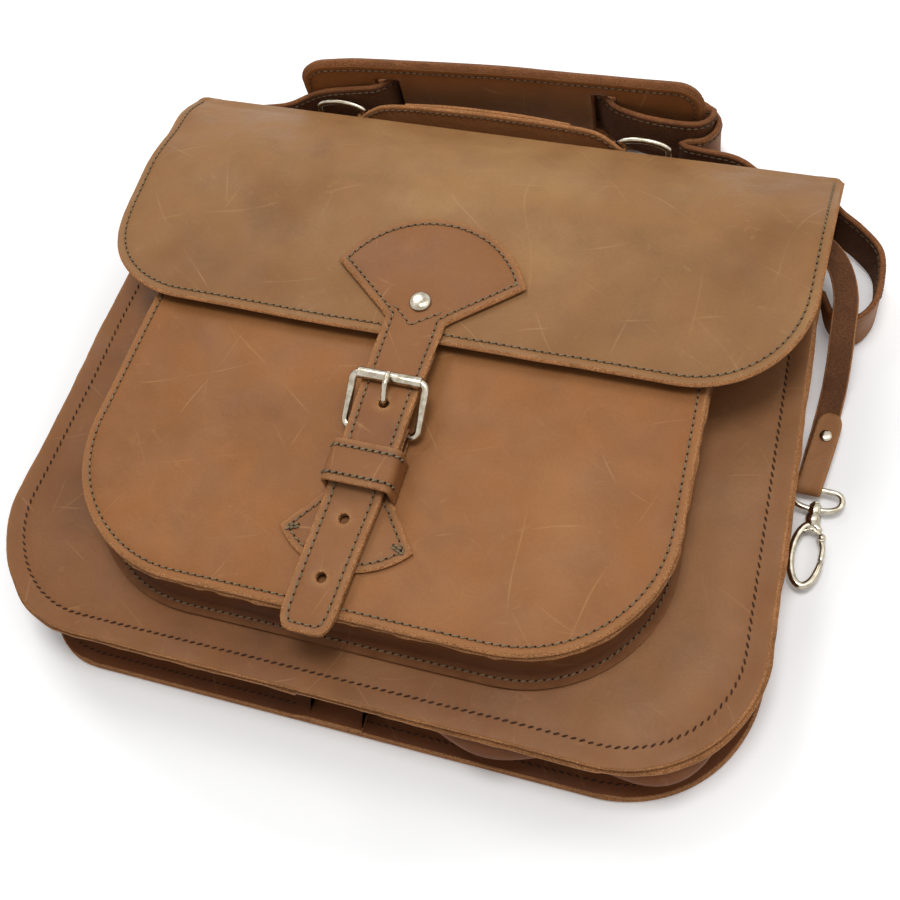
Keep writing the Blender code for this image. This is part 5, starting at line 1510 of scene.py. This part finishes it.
def makeHook():
    h = hook
    start = h["eyeY"] - h["eyeReach"] + h["collarLength"] / 2
    makeSwivel(start)
    neck, stem, c = h["collarLength"] + 0.3, h["wire"] * 0.7, h["collar"]
    profile = [(0.02, -1.2), (stem * 1.3, -1.1), (stem * 1.5, -0.7), (stem * 1.4, -0.3), (stem, -0.25),
               (stem, neck), (c * 0.9, neck), (c, neck + 0.4), (c, neck + 2.6), (c * 0.94, neck + 3.6),
               (c * 0.78, neck + 4.6), (c * 0.5, neck + 5.4), (0.02, neck + 5.6)]
    finished(lathe("hookBarrel", (h["x"], start, h["z"]), (0, -1, 0), profile), "hook", "nickel", "hook_body")
    top = start - neck - h["collarLength"]
    long = h["length"] / 2
    middle = top - long

    def ringSpot(degrees):
        t = math.radians(degrees)
        return (h["x"] + h["half"] * math.cos(t), middle + long * math.sin(t), h["z"])

    degrees = np.linspace(h["from"], h["to"], 46)
    points = [ringSpot(a) for a in degrees]
    radii = np.interp(degrees, *zip(*h["bowWires"]))
    finished(wire("hookBow", points, radii), "hook", "nickel", "hook_body")
    # the cast shoulder between the barrel and the bow
    half = [(1.7, 2.2), (3.0, 0.4), (4.2, -1.8), (5.0, -4.6), (3.9, -5.2), (2.4, -3.7), (0.0, -2.9)]
    outline = half + [(-x, y) for x, y in reversed(half[:-1])]
    rings = []
    for shrink, rise in ((0.7, -1.25), (1.0, -0.8), (1.0, 0.8), (0.7, 1.25)):
        narrow, low = 0.75 + 0.25 * shrink, 0.6 + 0.4 * shrink
        rings.append([(h["x"] + x * narrow, top + (y + 1.5) * low - 1.5, h["z"] + rise) for x, y in outline])
    piece = loft("hookShoulder", rings, ["nickelPlate"], [0] * len(outline), move=None)
    finished(piece, "hook", "nickel", "hook_body")
    makeGate(Vector(ringSpot(h["gateFrom"])), Vector(ringSpot(h["gateTo"])), Vector(points[0]))


def makeGate(first, last, end):
    # the gate turns on a pin at first and shuts on last; an arm behind it holds the pin to the bow's end
    h = hook
    under, pin = h["gateWire"] + 0.3, h["pin"]
    profile = [(0.02, -under - 1.1), (1.7, -under - 1.1), (1.8, -under - 0.9), (1.8, -under), (pin, -under),
               (pin, under), (pin * 1.5, under), (pin * 1.4, under + 0.45), (0.02, under + 0.6)]
    finished(lathe("gatePin", first, (0, 0, 1), profile, sides=20), "hook", "nickel", "hook_body")
    arm = [tuple(first - Vector((0, 0, under + 0.55))), tuple((first + end) / 2 - Vector((0, 0, under + 0.5))),
           tuple(end - Vector((0, 0, under - 0.4)))]
    finished(wire("gateArm", catmull(arm, 1.0), h["armWire"]), "hook", "nickel", "hook_body")
    bowed = (first + last) / 2 + Vector((0.6, 0, 0))
    line = catmull([tuple(first + (last - first) * 0.14), tuple(bowed), tuple(last)], 1.0)
    finished(wire("gateBar", line, h["gateWire"]), "hook_gate", "nickel", "hook_gate")
    bore = pin + 0.15
    profile = [(bore, -1.3), (1.6, -1.3), (1.8, -1.05), (1.8, 1.05), (1.6, 1.3), (bore, 1.3)]
    piece = lathe("gateEye", first, (0, 0, 1), profile, sides=20, closed=True)
    finished(piece, "hook_gate", "nickel", "hook_gate")


# Roller buckle and the fan's rivet
fanRivet = {"half": 4.8, "low": 62.9, "high": 70.25, "rise": 1.9}


def makeBuckle():
    b = bar
    rollerY = b["y"] + b["reach"]
    lean = math.atan2(b["rollerZ"] - b["z"], b["reach"])
    length = math.hypot(b["rollerZ"] - b["z"], b["reach"])
    corner = b["corner"]
    spots = []
    for cx, cy, start in ((1, 1, 0), (-1, 1, 90), (-1, 0, 180), (1, 0, 270)):
        mx, my = cx * (b["half"] - corner), cy * length + (corner if cy == 0 else -corner)
        spots += [(x, b["y"] + d * math.cos(lean), b["z"] + d * math.sin(lean))
                  for x, d in arc(mx, my, corner, corner, start, start + 90)]
    piece = wire("buckleFrame", spots, b["wire"], True, (0, -math.sin(lean), math.cos(lean)))
    finished(piece, "buckle_frame", "nickel", "buckle_frame")
    reach = b["half"] - corner + 0.9
    inner, r = b["wire"] + b["clear"], b["roller"]
    profile = [(inner, -reach), (r * 0.94, -reach), (r, -reach + 0.3), (r, reach - 0.3), (r * 0.94, reach),
               (inner, reach)]
    piece = lathe("buckleRoller", (0, rollerY, b["rollerZ"]), (1, 0, 0), profile, closed=True)
    finished(piece, "buckle_roller", "nickel", "buckle_roller")
    # the tongue curls round the bar, rises through the strap's hole and lies down on the roller
    ring = b["wire"] + b["clear"] + b["tongue"]
    curl = [(b["y"] + ring * math.cos(a), b["z"] + ring * math.sin(a))
            for a in [math.radians(v) for v in (-38, -80, -125, -170, 145, 105, 72)]]
    hole, lift, top = strapCut["holes"][0], b["tongue"], b["rollerZ"] + b["roller"] + 0.3 + b["tongue"]
    above = strapRun[5][1] + 2 * strapCut["layer"] + strapCut["gap"]
    ringTop = b["z"] + ring
    reach = hole - b["y"]
    line = curl + [(b["y"] + reach * 0.55, ringTop - lift * 0.3), (b["y"] + reach * 0.84, ringTop + lift * 0.35),
                   (hole - lift * 0.1, ringTop + lift * 1.5), (hole + lift * 0.45, above + lift * 0.6),
                   (hole + lift * 2.6, above + lift * 2.6), (rollerY - b["roller"] * 2, top - lift * 0.35),
                   (rollerY - 0.4, top - 0.1), (rollerY + 0.8, top - 0.35)]
    points = catmull([(0, y, z) for y, z in line], 0.8)
    radii = np.full(len(points), b["tongue"])
    radii[-3:] = (1.1, 0.9, 0.55)
    finished(wire("buckleTongue", points, radii, hint=(1, 0, 0)), "buckle_tongue", "nickel", "buckle_tongue")
    profile = domeProfile(fanRivet["half"], fanRivet["low"], fanRivet["high"], fanRivet["rise"])
    piece = lathe("strapRivet", (0, strapCut["rivet"], 0), (0, 0, 1), profile, sides=36)
    finished(piece, "flap", "nickel", "strap_rivet")


makeHandle()
makePad()
makeStrap()
makeLeash()
makeHook()
makeBuckle()
print("handle, pad, straps, leash and buckle made")
